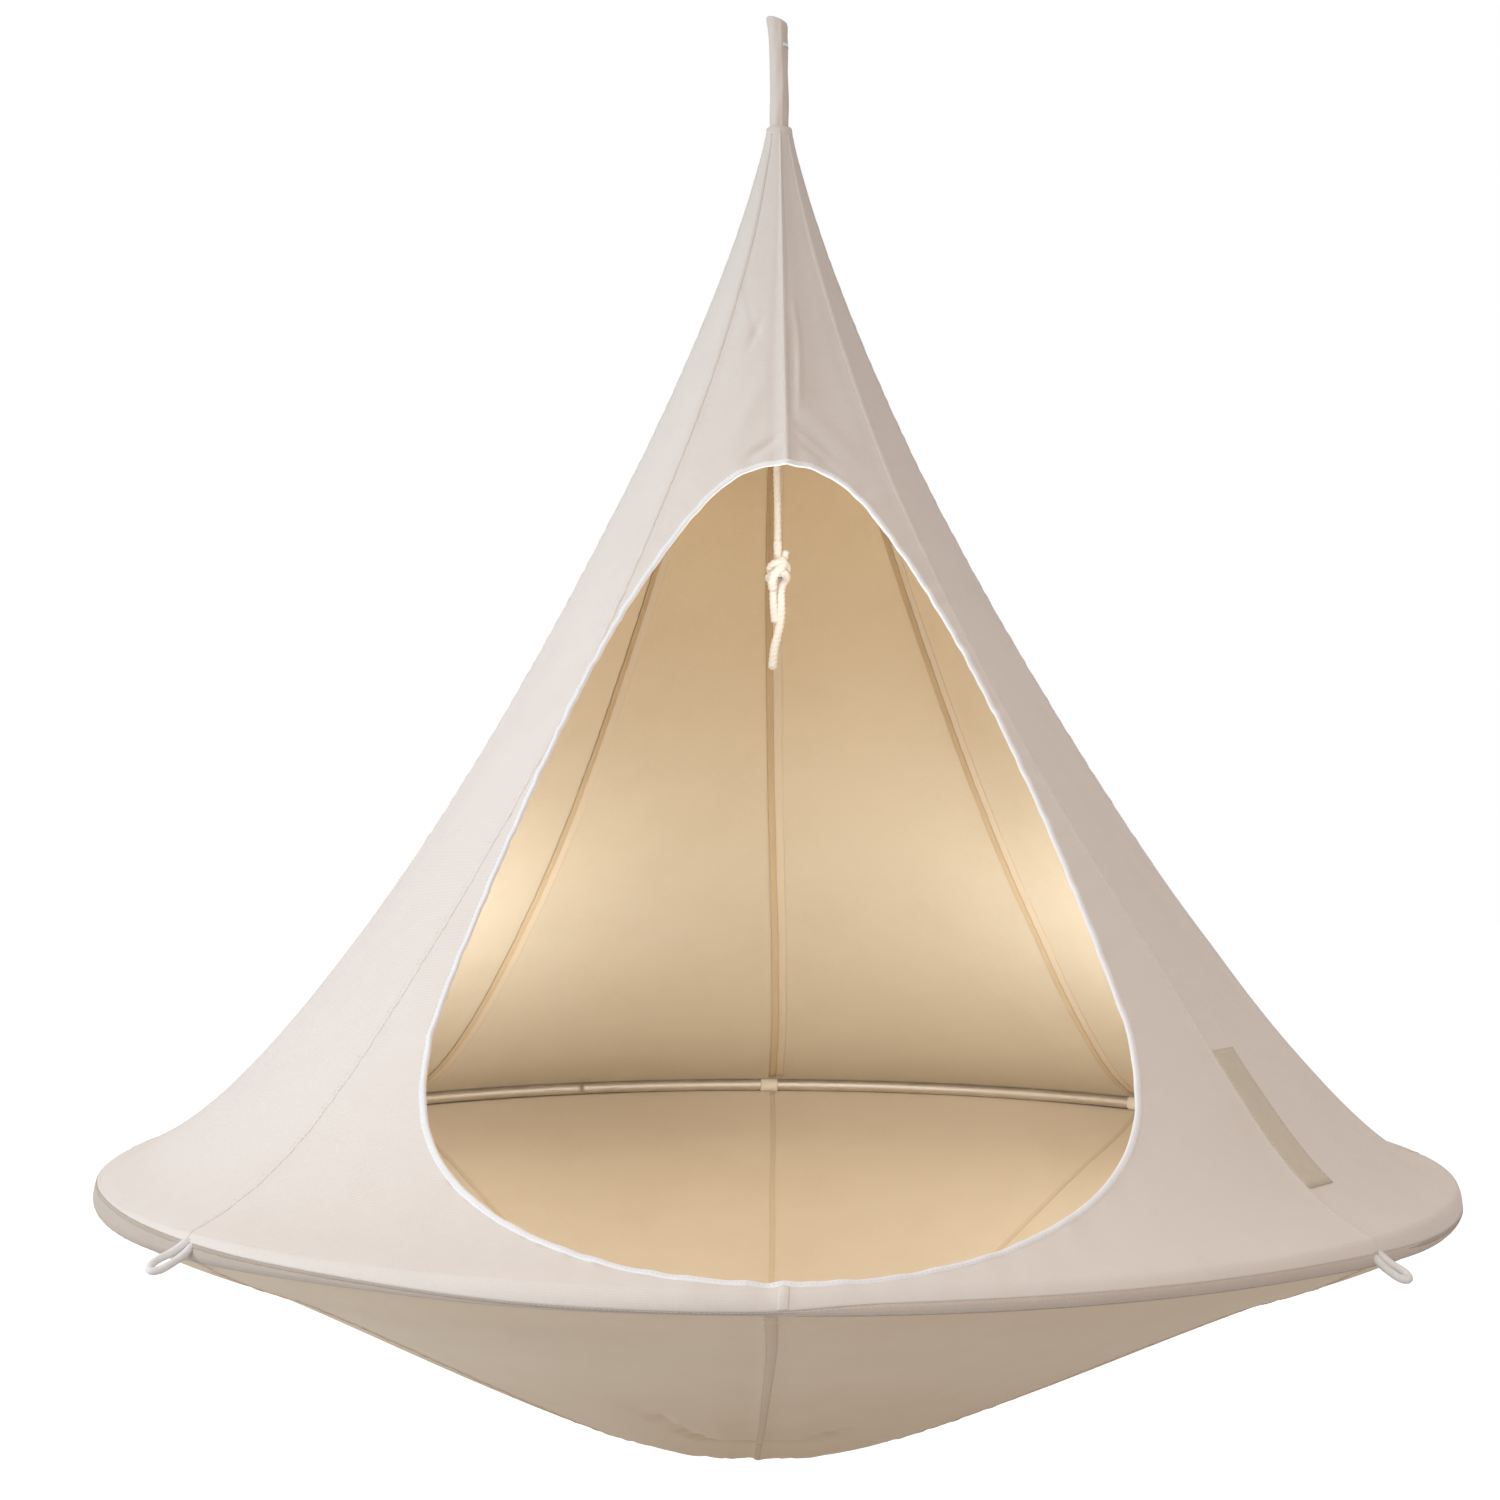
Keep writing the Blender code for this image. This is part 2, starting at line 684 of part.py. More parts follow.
def bare_label():
    """Woven label, left plain, sewn along the front seam on the right."""
    seam = SEAM_NAMES.index(LABEL_SEAM) * GORE_STEP
    rows = rows_between(row_at_height(LABEL_LOW), row_at_height(LABEL_HIGH))
    grids = []
    for depth in (-LINING_GAP - LABEL_THICKNESS, -LINING_GAP):
        grid = []
        for row in rows:
            radius = profile_point(0, row, depth)[0]
            near = math.degrees(LABEL_SEAM_MARGIN / radius)
            far = math.degrees((LABEL_SEAM_MARGIN + LABEL_WIDTH) / radius)
            grid.append([tent_point(seam + angle, row, depth) for angle in (near, far)])
        grids.append(grid)
    bm = bmesh.new()
    add_panel(bm, *grids)
    return mesh_from("bare_label", bm, "label")


def bottom_disc():
    """Round patch under the point where the floor's gores meet."""
    top = tent_profile()[0][1] - HANG_HEIGHT - GAP
    return cylinder("bottom_disc", DISC_RADIUS, top - DISC_THICKNESS, top, "floor_canvas", sides=40)


# Ring


def ring_circle(angle, radius, sides=TUBE_SIDES):
    """Section of a rod that follows the ring's line."""
    return [ring_polar(angle, RING_RADIUS + radius * math.cos(a), radius * math.sin(a))
            for a in even_turn(sides)]


def ring_section(name, index):
    """A quarter of the ring: bent tube, open at both ends."""
    span = 360.0 / RING_SECTIONS
    start = GORE_STEP / 2.0 + index * span
    trim = math.degrees(SPLIT / RING_RADIUS)
    angles = angles_between(start, start + span)
    angles[0] += trim
    angles[-1] -= trim
    outside = [ring_circle(angle, TUBE_RADIUS) for angle in angles]
    bore = [ring_circle(angle, TUBE_RADIUS - TUBE_WALL) for angle in reversed(angles)]
    bm = bmesh.new()
    add_loft(bm, outside + bore, closed=True)
    return mesh_from(name, bm, "aluminium", smooth_degrees=50.0)


def ring_spigot(name, index):
    """Rod inside the tube that joins one section to the next."""
    half = math.degrees(SPIGOT_LENGTH / 2.0 / RING_RADIUS)
    joint = GORE_STEP / 2.0 + index * 360.0 / RING_SECTIONS
    bm = bmesh.new()
    add_loft(bm, [ring_circle(angle, TUBE_RADIUS - TUBE_WALL - GAP)
                  for angle in angles_between(joint - half, joint + half)])
    return mesh_from(name, bm, "aluminium", smooth_degrees=50.0)


def ring_tab(name, seam):
    """Cloth tab round the inner side of the tube, which holds it in the rim at a seam."""
    start = cone_leave_angle() + TAB_END_ANGLE
    end = 2.0 * math.pi + floor_leave_angle() - TAB_END_ANGLE
    half = math.degrees(TAB_WIDTH / 2.0 / RING_RADIUS)
    steps = 8
    grids = []
    for radius in (BAND_INNER_RADIUS + TAB_THICKNESS, BAND_INNER_RADIUS):
        grid = []
        for i in range(steps + 1):
            a = start + (end - start) * i / steps
            grid.append([ring_polar(angle, RING_RADIUS + radius * math.cos(a), radius * math.sin(a))
                         for angle in angles_between(seam - half, seam + half)])
        grids.append(grid)
    bm = bmesh.new()
    add_panel(bm, *grids)
    return mesh_from(name, bm, "canvas")


# Neck and hanging gear


def flat_ring(name, radius, wire_radius, centre_z, across, finish, steps=20):
    """Upright ring of wire round the axis across."""
    along = AXIS_X if across == AXIS_Y else AXIS_Y
    points = [along * (radius * math.cos(a)) + Vector((0, 0, centre_z + radius * math.sin(a)))
              for a in even_turn(steps)]
    bm = bmesh.new()
    add_wire(bm, points, across, wire_radius, closed=True)
    return mesh_from(name, bm, finish, smooth_degrees=60.0)


def turned_ring(name, bore, radius, low, high, finish, sides=20):
    """Washer-like solid of revolution between two heights."""
    sections = []
    for a in even_turn(sides):
        out = Vector((math.cos(a), math.sin(a), 0))
        sections.append([out * bore + Vector((0, 0, low)), out * radius + Vector((0, 0, low)),
                         out * radius + Vector((0, 0, high)), out * bore + Vector((0, 0, high))])
    bm = bmesh.new()
    add_loft(bm, sections, closed=True)
    return mesh_from(name, bm, finish)


def swivel_eye():
    """Top eye with its stem, the piece that stays still on its hook."""
    radius = EYE_BORE_RADIUS + EYE_WIRE_RADIUS
    eye = flat_ring("swivel_eye", radius, EYE_WIRE_RADIUS, EYE_CENTRE_Z, AXIS_Y, "steel")
    stem_top = EYE_BOTTOM_Z + EYE_WIRE_RADIUS
    stem = cylinder("stem_guide", STEM_RADIUS, NUT_BOTTOM_Z, stem_top, "steel", sides=12)
    return boolean(eye, stem, "UNION")


def swivel_nut():
    """Head under the plate that keeps the stem from pulling through."""
    return turned_ring("swivel_nut", STEM_RADIUS + GAP, NUT_RADIUS, NUT_BOTTOM_Z, NUT_TOP_Z, "steel", 12)


def swivel_bow():
    """Plate that turns on the stem, with the bow that the sling hangs from."""
    plate = turned_ring("swivel_bow", STEM_RADIUS + GAP, PLATE_RADIUS, PLATE_BOTTOM_Z, PLATE_TOP_Z,
                        "steel", sides=24)
    bend_z = BOW_BOTTOM_Z + BOW_RADIUS
    points = [Vector((0, BOW_RADIUS, PLATE_MIDDLE_Z))]
    steps = 10
    for i in range(steps + 1):
        a = -math.pi * i / steps
        points.append(Vector((0, BOW_RADIUS * math.cos(a), bend_z + BOW_RADIUS * math.sin(a))))
    points.append(Vector((0, -BOW_RADIUS, PLATE_MIDDLE_Z)))
    bm = bmesh.new()
    add_wire(bm, points, AXIS_X, BOW_WIRE_RADIUS)
    bow = mesh_from("bow_guide", bm, "steel")
    return boolean(plate, bow, "UNION")


def hang_sling():
    """Endless rope sling from the swivel's bow down through the neck."""
    points = link_points(SLING_BEND_RADIUS, SLING_TOP_Z, SLING_BOTTOM_Z, "XZ")
    return tube("hang_sling", points, SLING_RADIUS, "rope", closed=True)


def neck_sleeve():
    """Cloth sleeve over the sling, with a slanted mouth and its foot tucked into the collar."""
    low_lip = COLLAR_Z + NECK_LENGTH
    foot = COLLAR_Z - SLEEVE_TUCK
    sections = []
    for a in even_turn(24):
        out = Vector((math.cos(a), math.sin(a), 0))
        lip = low_lip + MOUTH_SLANT * (1.0 - math.cos(a)) / 2.0
        inside = out * SLEEVE_BORE_RADIUS
        outside = out * SLEEVE_RADIUS
        sections.append([inside + Vector((0, 0, foot)), outside + Vector((0, 0, foot)),
                         outside + Vector((0, 0, lip)), inside + Vector((0, 0, lip))])
    bm = bmesh.new()
    add_loft(bm, sections, closed=True)
    return mesh_from("neck_sleeve", bm, "canvas")


def crown_link():
    """Steel ring between the sling and the crown eye; it lets the tent swing both ways."""
    return flat_ring("crown_link", LINK_RADIUS, LINK_WIRE_RADIUS, LINK_CENTRE_Z, AXIS_X, "steel")


def crown_wire(name, radius):
    points = link_points(CROWN_BEND_RADIUS, CROWN_TOP_Z, CROWN_BOTTOM_Z, "XZ")
    bm = bmesh.new()
    add_wire(bm, points, AXIS_Y, radius, closed=True)
    return mesh_from(name, bm, "steel", smooth_degrees=60.0)


def strap_gather():
    """The eight webbings' ends, folded over the crown eye and sewn into one block."""
    depth = FABRIC + STRAP_THICKNESS + 2.0 * LINING_GAP
    rows = rows_between(row_at_height(CONE_RISE - GATHER_TOP_DROP - GATHER_LENGTH),
                        row_at_height(CONE_RISE - GATHER_TOP_DROP))
    sections = []
    for row in rows:
        sections.append([tent_point(column * COLUMN_STEP, row, depth)
                         for column in range(GORES * COLUMNS_PER_GORE)])
    bm = bmesh.new()
    add_loft(bm, sections)
    block = mesh_from("strap_gather", bm, "webbing")
    return boolean(block, crown_wire("crown_guide", CROWN_WIRE_RADIUS + GAP), "DIFFERENCE")


# Inner cord


def cord_eye():
    """The loop that ties the inner cord to the lower bend of the crown eye."""
    return flat_ring("inner_cord_eye", CORD_EYE_RADIUS, CORD_RADIUS, CROWN_BOTTOM_Z, AXIS_X, "rope", 16)


def inner_cord():
    """The cord's hanging run, with the slight bow it keeps from being stored."""
    points = []
    for i in range(CORD_STEPS + 1):
        share = i / CORD_STEPS
        sway = CORD_SWAY * math.sin(math.pi * share) ** 2
        points.append(Vector((-sway, 0.0, CORD_TOP_Z - KNOT_DROP * share)))
    return tube("inner_cord", points, CORD_RADIUS, "rope")


def cord_tail_path():
    """Centre line of the doubled end below the knot, which starts and ends inside the knot."""
    start = KNOT_BOTTOM_Z + KNOT_LENGTH / 3.0
    bend_z = KNOT_BOTTOM_Z - TAIL_LENGTH + CORD_RADIUS + TAIL_HALF_WIDTH
    straight = 6
    down = [Vector((-TAIL_HALF_WIDTH, 0, start + (bend_z - start) * i / straight))
            for i in range(straight)]
    bend = 8
    turn = []
    for i in range(bend + 1):
        a = math.pi * (1.0 + i / bend)
        turn.append(Vector((TAIL_HALF_WIDTH * math.cos(a), 0,
                            bend_z + TAIL_HALF_WIDTH * math.sin(a))))
    up = [Vector((-point.x, 0, point.z)) for point in reversed(down)]
    return down + turn + up


def cord_knot():
    """The knot near the cord's end, a fat barrel of turns, with the end loop below it."""
    steps = 8
    bm = bmesh.new()
    sections = []
    for i in range(steps + 1):
        share = i / steps
        z = KNOT_TOP_Z - GAP - (KNOT_LENGTH - GAP) * share
        along = KNOT_END_SHARE + (1.0 - 2.0 * KNOT_END_SHARE) * share
        swell = math.sin(math.pi * along) ** KNOT_FULLNESS
        sections.append([Vector((KNOT_RADIUS * swell * math.cos(a),
                                 KNOT_RADIUS * KNOT_FLATNESS * swell * math.sin(a), z))
                         for a in even_turn(12)])
    add_loft(bm, sections)
    knot = mesh_from("inner_cord_knot", bm, "rope", smooth_degrees=60.0)
    tail = bmesh.new()
    add_wire(tail, cord_tail_path(), AXIS_Y, CORD_RADIUS)
    return boolean(knot, mesh_from("tail_guide", tail, "rope"), "UNION")


# Tie loops


def loop_pivot(angle):
    """Centre of a tie loop's inner bend, just clear of the rim's hem, and the way out from there."""
    out = polar(angle, 1.0, HANG_HEIGHT)
    wire_flat = LOOP_WIRE_RADIUS * math.cos(math.pi / LOOP_WIRE_SIDES)
    reach = ROLL_RADIUS + GAP + wire_flat + LOOP_BEND_RADIUS
    pivot = out * (RING_RADIUS + reach * math.cos(LOOP_ROOT_ANGLE))
    pivot.z = reach * math.sin(LOOP_ROOT_ANGLE) - HANG_HEIGHT
    return pivot, out


def tie_loop(name, angle):
    """Closed cord loop that droops outward from the rim, its two runs side by side."""
    pivot, out = loop_pivot(angle)
    along = out * math.cos(LOOP_DROOP) - Vector((0, 0, math.sin(LOOP_DROOP)))
    up = out * math.sin(LOOP_DROOP) + Vector((0, 0, math.cos(LOOP_DROOP)))
    half_straight = LOOP_LENGTH / 2.0 - LOOP_BEND_RADIUS
    across = along.cross(up)
    middle = pivot + along * half_straight
    points = [middle + across * u + along * v for u, v in stadium(LOOP_BEND_RADIUS, half_straight, 6)]
    bm = bmesh.new()
    add_wire(bm, points, up, LOOP_WIRE_RADIUS, closed=True, sides=LOOP_WIRE_SIDES)
    return mesh_from(name, bm, "loop_cord", smooth_degrees=70.0)


# Assembly


def build_cloth(cocoon):
    cutter = door_cutter(BINDING_RADIUS + GAP)
    near_door = ("front_right", "front_left", "right_front", "left_front")
    for index in range(GORES):
        start = index * GORE_STEP
        gore_name, seam_name = GORE_NAMES[index], SEAM_NAMES[index]
        cloth = canopy_gore("canopy_gore_" + gore_name, start)
        strap = load_strap("load_strap_" + seam_name, start)
        if gore_name in near_door:
            boolean(cloth, cutter, "DIFFERENCE")
        if seam_name in near_door:
            boolean(strap, cutter, "DIFFERENCE")
        for piece in (cloth, strap, floor_gore("floor_gore_" + gore_name, start),
                      ring_tab("ring_tab_" + seam_name, start)):
            carry(piece, cocoon)
    for piece in (door_binding(), rim_band(), bottom_disc(), bare_label()):
        carry(piece, cocoon)


def build_ring(cocoon):
    for index in range(RING_SECTIONS):
        carry(ring_section("ring_tube_" + SECTION_NAMES[index], index), cocoon)
        carry(ring_spigot("ring_spigot_" + SPIGOT_NAMES[index], index), cocoon)


def build_hanging_gear(spin, side_swing, front_swing):
    swivel_eye()
    swivel_nut()
    for piece in (swivel_bow(), hang_sling(), neck_sleeve()):
        carry(piece, spin)
    carry(crown_link(), side_swing)
    crown_eye = crown_wire("crown_eye", CROWN_WIRE_RADIUS)
    for piece in (crown_eye, strap_gather()):
        carry(piece, front_swing)


def build_tie_loops(cocoon):
    for where, angle in LOOP_ANGLES.items():
        pivot = empty_at("loop_pivot_" + where, loop_pivot(angle)[0], cocoon)
        carry(tie_loop("tie_loop_" + where, angle), pivot)


def main():
    clear_scene()
    spin = empty_at("spin_pivot", (0, 0, PLATE_MIDDLE_Z))
    side_swing = empty_at("side_swing_pivot", (0, 0, SIDE_PIVOT_Z), spin)
    cocoon = empty_at("front_swing_pivot", (0, 0, FRONT_PIVOT_Z), side_swing)
    cord_pivot = empty_at("cord_pivot", (0, 0, CROWN_BOTTOM_Z), cocoon)
    build_hanging_gear(spin, side_swing, cocoon)
    build_cloth(cocoon)
    build_ring(cocoon)
    build_tie_loops(cocoon)
    for piece in (cord_eye(), inner_cord(), cord_knot()):
        carry(piece, cord_pivot)


main()
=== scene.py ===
"""Hanging cocoon tent: its cloth, cords, finishes and light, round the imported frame.

Lengths are in metres. A height is measured from the ring's plane, and a world height is that less
HANG_HEIGHT. Angles are in degrees round the axis, from the door's middle towards +X.
"""

import math

import bmesh
import bpy
import numpy as np
from mathutils import Matrix
from mathutils import Vector


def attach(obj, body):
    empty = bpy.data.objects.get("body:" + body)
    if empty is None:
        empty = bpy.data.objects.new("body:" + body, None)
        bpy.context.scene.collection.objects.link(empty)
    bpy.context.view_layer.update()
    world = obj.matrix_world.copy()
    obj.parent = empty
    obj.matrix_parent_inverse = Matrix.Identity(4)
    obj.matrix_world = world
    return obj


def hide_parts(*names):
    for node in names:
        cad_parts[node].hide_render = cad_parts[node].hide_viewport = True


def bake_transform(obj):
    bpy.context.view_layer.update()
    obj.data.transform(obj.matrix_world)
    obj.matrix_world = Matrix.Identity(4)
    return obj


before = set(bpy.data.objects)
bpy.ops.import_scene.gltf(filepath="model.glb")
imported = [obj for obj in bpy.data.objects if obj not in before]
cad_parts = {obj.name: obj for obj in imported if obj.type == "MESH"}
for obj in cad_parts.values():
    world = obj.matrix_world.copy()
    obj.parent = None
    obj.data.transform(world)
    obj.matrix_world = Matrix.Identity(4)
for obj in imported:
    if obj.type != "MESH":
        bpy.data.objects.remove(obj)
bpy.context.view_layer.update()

# Dimensions of the frame and the fitted cone, floor and roll, as in the part's source.
HANG_HEIGHT = 1.3356
CONE_RISE = 1.215
FLARE_SHARE = 0.118
FLARE_HEIGHT = 0.061
CONE_POWER = 1.323
COLLAR_RADIUS = 0.0175
FABRIC = 0.0020
RING_RADIUS = 0.7397
TUBE_RADIUS = 0.0080
ROLL_RADIUS = 0.0103
CONE_EDGE_RADIUS = 0.7441
CONE_EDGE_HEIGHT = 0.00931
CONE_LEAVE = 64.7
FLOOR_LEAVE = -62.0
FLOOR_EDGE_RADIUS = 0.74452
FLOOR_EDGE_HEIGHT = -0.0091
FLOOR_SLOPE = 0.5377
FLOOR_ROUNDING = 0.120
DISC_RADIUS = 0.0725
FLOOR_TIP_RADIUS = 0.012
DISC_THICKNESS = 0.0020
STRAP_WIDTH = 0.012
STRAP_THICKNESS = 0.0015
LINING_GAP = 0.0004
GORE_STEP = 45.0
SEAM_ANGLES = {"front": 0.0, "front_right": 45.0, "right": 90.0, "rear_right": 135.0, "rear": 180.0,
               "rear_left": -135.0, "left": -90.0, "front_left": -45.0}
GORE_NAMES = ("front_right", "right_front", "right_rear", "rear_right",
              "rear_left", "left_rear", "left_front", "front_left")

# The door's outline, fitted to the photograph.
DOOR_HALF_WIDTH = 0.3330
DOOR_WIDEST_HEIGHT = 0.1787
DOOR_TOP = 0.7790
DOOR_BOTTOM = 0.0112
DOOR_UPPER_POWERS = (1.088, 0.549)
DOOR_LOWER_POWERS = (3.2, 0.455)
DOOR_BLUNTING = 0.065

# The cloth keeps its facets nearer to the collar than the solids do.
FACET_FADE_POWER = 40

# How far each seam wanders from its even place: height, then degrees.
SEAM_WANDER = {
    -135: ((0, 0), (0.4, -1), (0.9, 1), (1.2, 0)),
    -90: ((0, 0), (0.3, 1.2), (0.8, -1), (1.2, 1)),
    -45: ((0, -0.4), (0.15, -2), (0.37, -1.6), (0.63, 2.6), (1.04, 8.5), (1.2, 9)),
    0: ((0, -0.35), (0.1, 0), (0.78, 2.4), (1, 2.6), (1.2, 4)),
    45: ((0, -0.8), (0.217, 3.6), (0.473, 0.2), (0.8, -3.4), (1.2, -3)),
    90: ((0, 0), (0.35, -1.4), (0.85, 0.8), (1.2, -1)),
    135: ((0, 0), (0.45, 1), (0.9, -0.8), (1.2, 0)),
    180: ((0, -0.4), (0.15, -0.2), (0.5, 1.6), (0.8, 2.7), (0.95, 2.5), (1.2, 0)),
}

# How far the cloth hangs off its even place: height, then metres across, outward, or across at the door.
LEAN = (
    (-0.32, -0.021), (-0.29, -0.0205), (-0.265, -0.0195), (-0.22, -0.015), (-0.16, -0.011), (-0.1, -0.006),
    (-0.05, -0.002), (0.02, 0), (0.066, 0.003), (0.112, 0.005), (0.25, 0.007), (0.39, 0.006), (0.53, 0.004),
    (0.63, 0.002), (0.75, 0),
)
TRIM = (
    (0, 0), (0.031, -0.006), (0.066, -0.003), (0.112, 0.0005), (0.158, 0.0005), (0.25, -0.001), (0.3, -0.004),
    (0.39, -0.006), (0.49, -0.0064), (0.63, -0.0053), (0.72, -0.004), (0.82, -0.0035), (1, -0.001), (1.1, -0.0005),
    (1.16, -0.0008), (1.18, -0.0016), (1.2, -0.0022), (1.215, -0.0022), (1.3, -0.0022),
)
DOOR_SHIFT = (
    (0, -0.0035), (0.1, -0.0045), (0.2, -0.003), (0.35, 0.0005), (0.45, 0.0015), (0.6, 0.002), (0.7, 0.003),
    (0.779, 0.0085),
)

# The rim's cloth, by degrees round: where the canopy's edge lies on the roll in degrees, how far the roll
# sags, and a dip above the rim. RIM_LIP is how far the edge stands out.
RIM_SEAM = (
    (-180, 5), (-100, 5), (-80, 46), (-62, 44), (-48, 30), (-33, 4), (-24, -12), (-16, -28), (-6, -42), (-1, -40),
    (4, 0), (15, 5), (45, 5), (55, 0), (75, -5), (110, 5), (180, 5),
)
RIM_SAG = (
    (-180, 0), (-130, 0.002), (-95, 0.008), (-70, 0.01), (-52, 0.009), (-38, 0.004), (-30, 0.002), (-16, 0.004),
    (-5, 0.0025), (10, 0.0025), (30, 0.0025), (38, 0.003), (45, 0.006), (55, 0.01), (65, 0.011), (80, 0.009),
    (100, 0.007), (125, 0.003), (150, 0), (180, 0),
)
RIGHT_DIP = (
    (-180, 0), (50, 0), (70, 0.003), (90, 0.005), (115, 0.004), (140, 0), (180, 0),
)
RIM_LIP = 0.0012
SAG_FROM = math.radians(60.0)
SAG_OVER = math.radians(80.0)

# How far two of the floor's seams wander: share of the way in from the ring, then degrees.
FLOOR_WANDER = {
    0: ((0, -1), (0.17, -0.75), (0.35, -0.6), (0.6, -0.45), (1, 0)),
    180: ((0, -0.4), (0.3, -1.1), (0.52, -2.4), (0.7, -2.6), (1, 0)),
}

# The floor's gathers round its middle: size, waves a turn and phase in degrees.
FLOOR_GATHERS = ((1.0, 23.0, 0.0), (0.7, 41.0, 30.0), (0.6, 67.0, 75.0))

# Creases in the floor's front: x and distance before the axis of both ends, half width and height.
FLOOR_CREASES = (
    (-0.064, 0.29, 0.056, 0.292, 0.0034, -0.006), (-0.048, 0.284, -0.086, 0.332, 0.0034, -0.0075),
    (-0.072, 0.32, -0.134, 0.424, 0.004, -0.0058), (0.042, 0.286, 0.084, 0.348, 0.0034, -0.007),
    (-0.036, 0.3, -0.06, 0.42, 0.008, 0.0016), (0.03, 0.3, 0.052, 0.43, 0.009, 0.0016),
)

# Creases in the front's cloth: x and height of both ends, then half width and height of the fold.
CREASES = (
    (-0.058, 1.03, -0.028, 0.95, 0.006, 0.0016), (-0.046, 1.01, -0.02, 0.925, 0.005, -0.0012),
    (0.01, 1.005, 0.026, 0.925, 0.005, 0.0016), (0.02, 0.99, 0.03, 0.905, 0.004, -0.001),
    (0.012, 0.86, 0.098, 0.778, 0.011, 0.0026), (-0.006, 0.9, -0.06, 0.79, 0.01, 0.0016),
    (0.008, 0.818, 0.074, 0.766, 0.0042, -0.0034), (0.01, 0.832, 0.066, 0.79, 0.0045, -0.0028),
    (0.006, 0.826, 0.07, 0.776, 0.004, 0.0022), (-0.04, 0.783, 0.002, 0.812, 0.0042, -0.0044),
    (0.0125, 0.96, 0.0135, 0.825, 0.0036, -0.0034), (0.0215, 0.955, 0.0205, 0.83, 0.0045, 0.0026),
    (-0.038, 0.915, -0.018, 0.968, 0.005, -0.002),
)


def unit(v):
    return v / np.maximum(np.linalg.norm(v, axis=-1, keepdims=True), 1e-12)


def within_turn(angle):
    return (angle + 180.0) % 360.0 - 180.0


def bell(x):
    return np.exp(-x ** 2)


def circle(count):
    return np.linspace(0.0, 2.0 * math.pi, count, endpoint=False)


def run_of(path):
    """Distances along a path's points."""
    return np.concatenate([[0.0], np.cumsum(np.linalg.norm(np.diff(path, axis=0), axis=-1))])


def stacked(*columns):
    """Points from each coordinate's array or number."""
    return np.stack(np.broadcast_arrays(*columns), axis=-1)


def round_section(count):
    return stacked(np.cos(circle(count)), np.sin(circle(count)))


def interpolated(at, steps, points):
    """Points at some places of a path whose own points are at steps."""
    return stacked(*(np.interp(at, steps, column) for column in points.T))


def paired(a, b):
    return np.broadcast_arrays(np.asarray(a, float), np.asarray(b, float))


def polar(angle, radius, height):
    """World points from arrays of angle, radius and height."""
    turn = np.radians(angle)
    lean = np.interp(height, *LEAN_TABLE)
    return stacked(radius * np.sin(turn) + lean, -radius * np.cos(turn), height - HANG_HEIGHT)


def eased(points, low=-0.1, high=1.3, spread=0.07):
    """A smooth table through a few points, for np.interp."""
    steps = np.linspace(low, high, 281)
    rough = np.interp(steps, [p[0] for p in points], [p[1] for p in points])
    reach = np.arange(-60, 61) * (steps[1] - steps[0])
    weight = np.exp(-0.5 * (reach / spread) ** 2)
    padded = np.pad(rough, 60, mode="edge")
    return steps, np.convolve(padded, weight / weight.sum(), mode="valid")


LEAN_TABLE = eased(LEAN, -0.4, 1.3, 0.02)
TRIM_TABLE = eased(TRIM, -0.1, 1.3, 0.012)
DOOR_TABLE = eased(DOOR_SHIFT, -0.1, 1.3, 0.05)
SEAM_TABLE = eased(RIM_SEAM, -180.0, 180.0, 2.0)
SAG_TABLE = eased(RIM_SAG, -180.0, 180.0, 3.0)
WANDER_TABLES = {angle: eased(points) for angle, points in SEAM_WANDER.items()}


def near_seam(nominal, angle):
    """1 at a seam's even angle, less beside it and 0 from the next seam on."""
    return np.clip(1.0 - np.abs(within_turn(nominal - angle)) / GORE_STEP, 0.0, 1.0)


def wander(nominal, height):
    """Degrees by which the cloth at an even angle is turned, so that seams wander as they do."""
    return sum(near_seam(nominal, angle) * np.interp(height, *line) for angle, line in WANDER_TABLES.items())


def off_seam(nominal):
    """Degrees from the nearest seam behind, 0 to 45."""
    return np.mod(nominal, GORE_STEP)


def from_seam(nominal):
    """Degrees from the nearest seam, -22.5 to 22.5."""
    return off_seam(nominal + GORE_STEP / 2.0) - GORE_STEP / 2.0


def cone_radius(share):
    fade = CONE_RISE / FLARE_HEIGHT
    flare = (np.exp(-share * fade) - math.exp(-fade)) / (1.0 - math.exp(-fade))
    slim = (1.0 - FLARE_SHARE) * np.power(np.clip(1.0 - share, 0.0, 1.0), CONE_POWER)
    height = CONE_EDGE_HEIGHT + (CONE_RISE - CONE_EDGE_HEIGHT) * share
    trim = np.interp(height, *TRIM_TABLE) * np.clip(share / 0.01, 0.0, 1.0)
    return COLLAR_RADIUS + (CONE_EDGE_RADIUS - COLLAR_RADIUS) * (FLARE_SHARE * flare + slim) + trim


def facet_factor(nominal, height):
    """The cloth is stretched flatter between two seams, most at mid height."""
    share = np.clip((height - ROLL_RADIUS) / (CONE_RISE - ROLL_RADIUS), 0.0, 1.0)
    depth = share * (1.0 - share ** FACET_FADE_POWER)
    half = math.radians(GORE_STEP / 2.0)
    flat = math.cos(half) / np.cos(half - np.radians(off_seam(nominal)))
    return 1.0 - depth + depth * flat


def rim_sag(nominal, roll):
    """How far the cloth hangs below the tube's even roll, at an angle up the roll in radians."""
    share = np.clip((SAG_FROM - roll) / SAG_OVER, 0.0, 1.0)
    return np.interp(within_turn(nominal), *SAG_TABLE) * share * share * (3.0 - 2.0 * share)


def edge_roll(nominal):
    """Degrees up the roll at which the canopy's edge lies."""
    return np.interp(within_turn(nominal), *SEAM_TABLE)


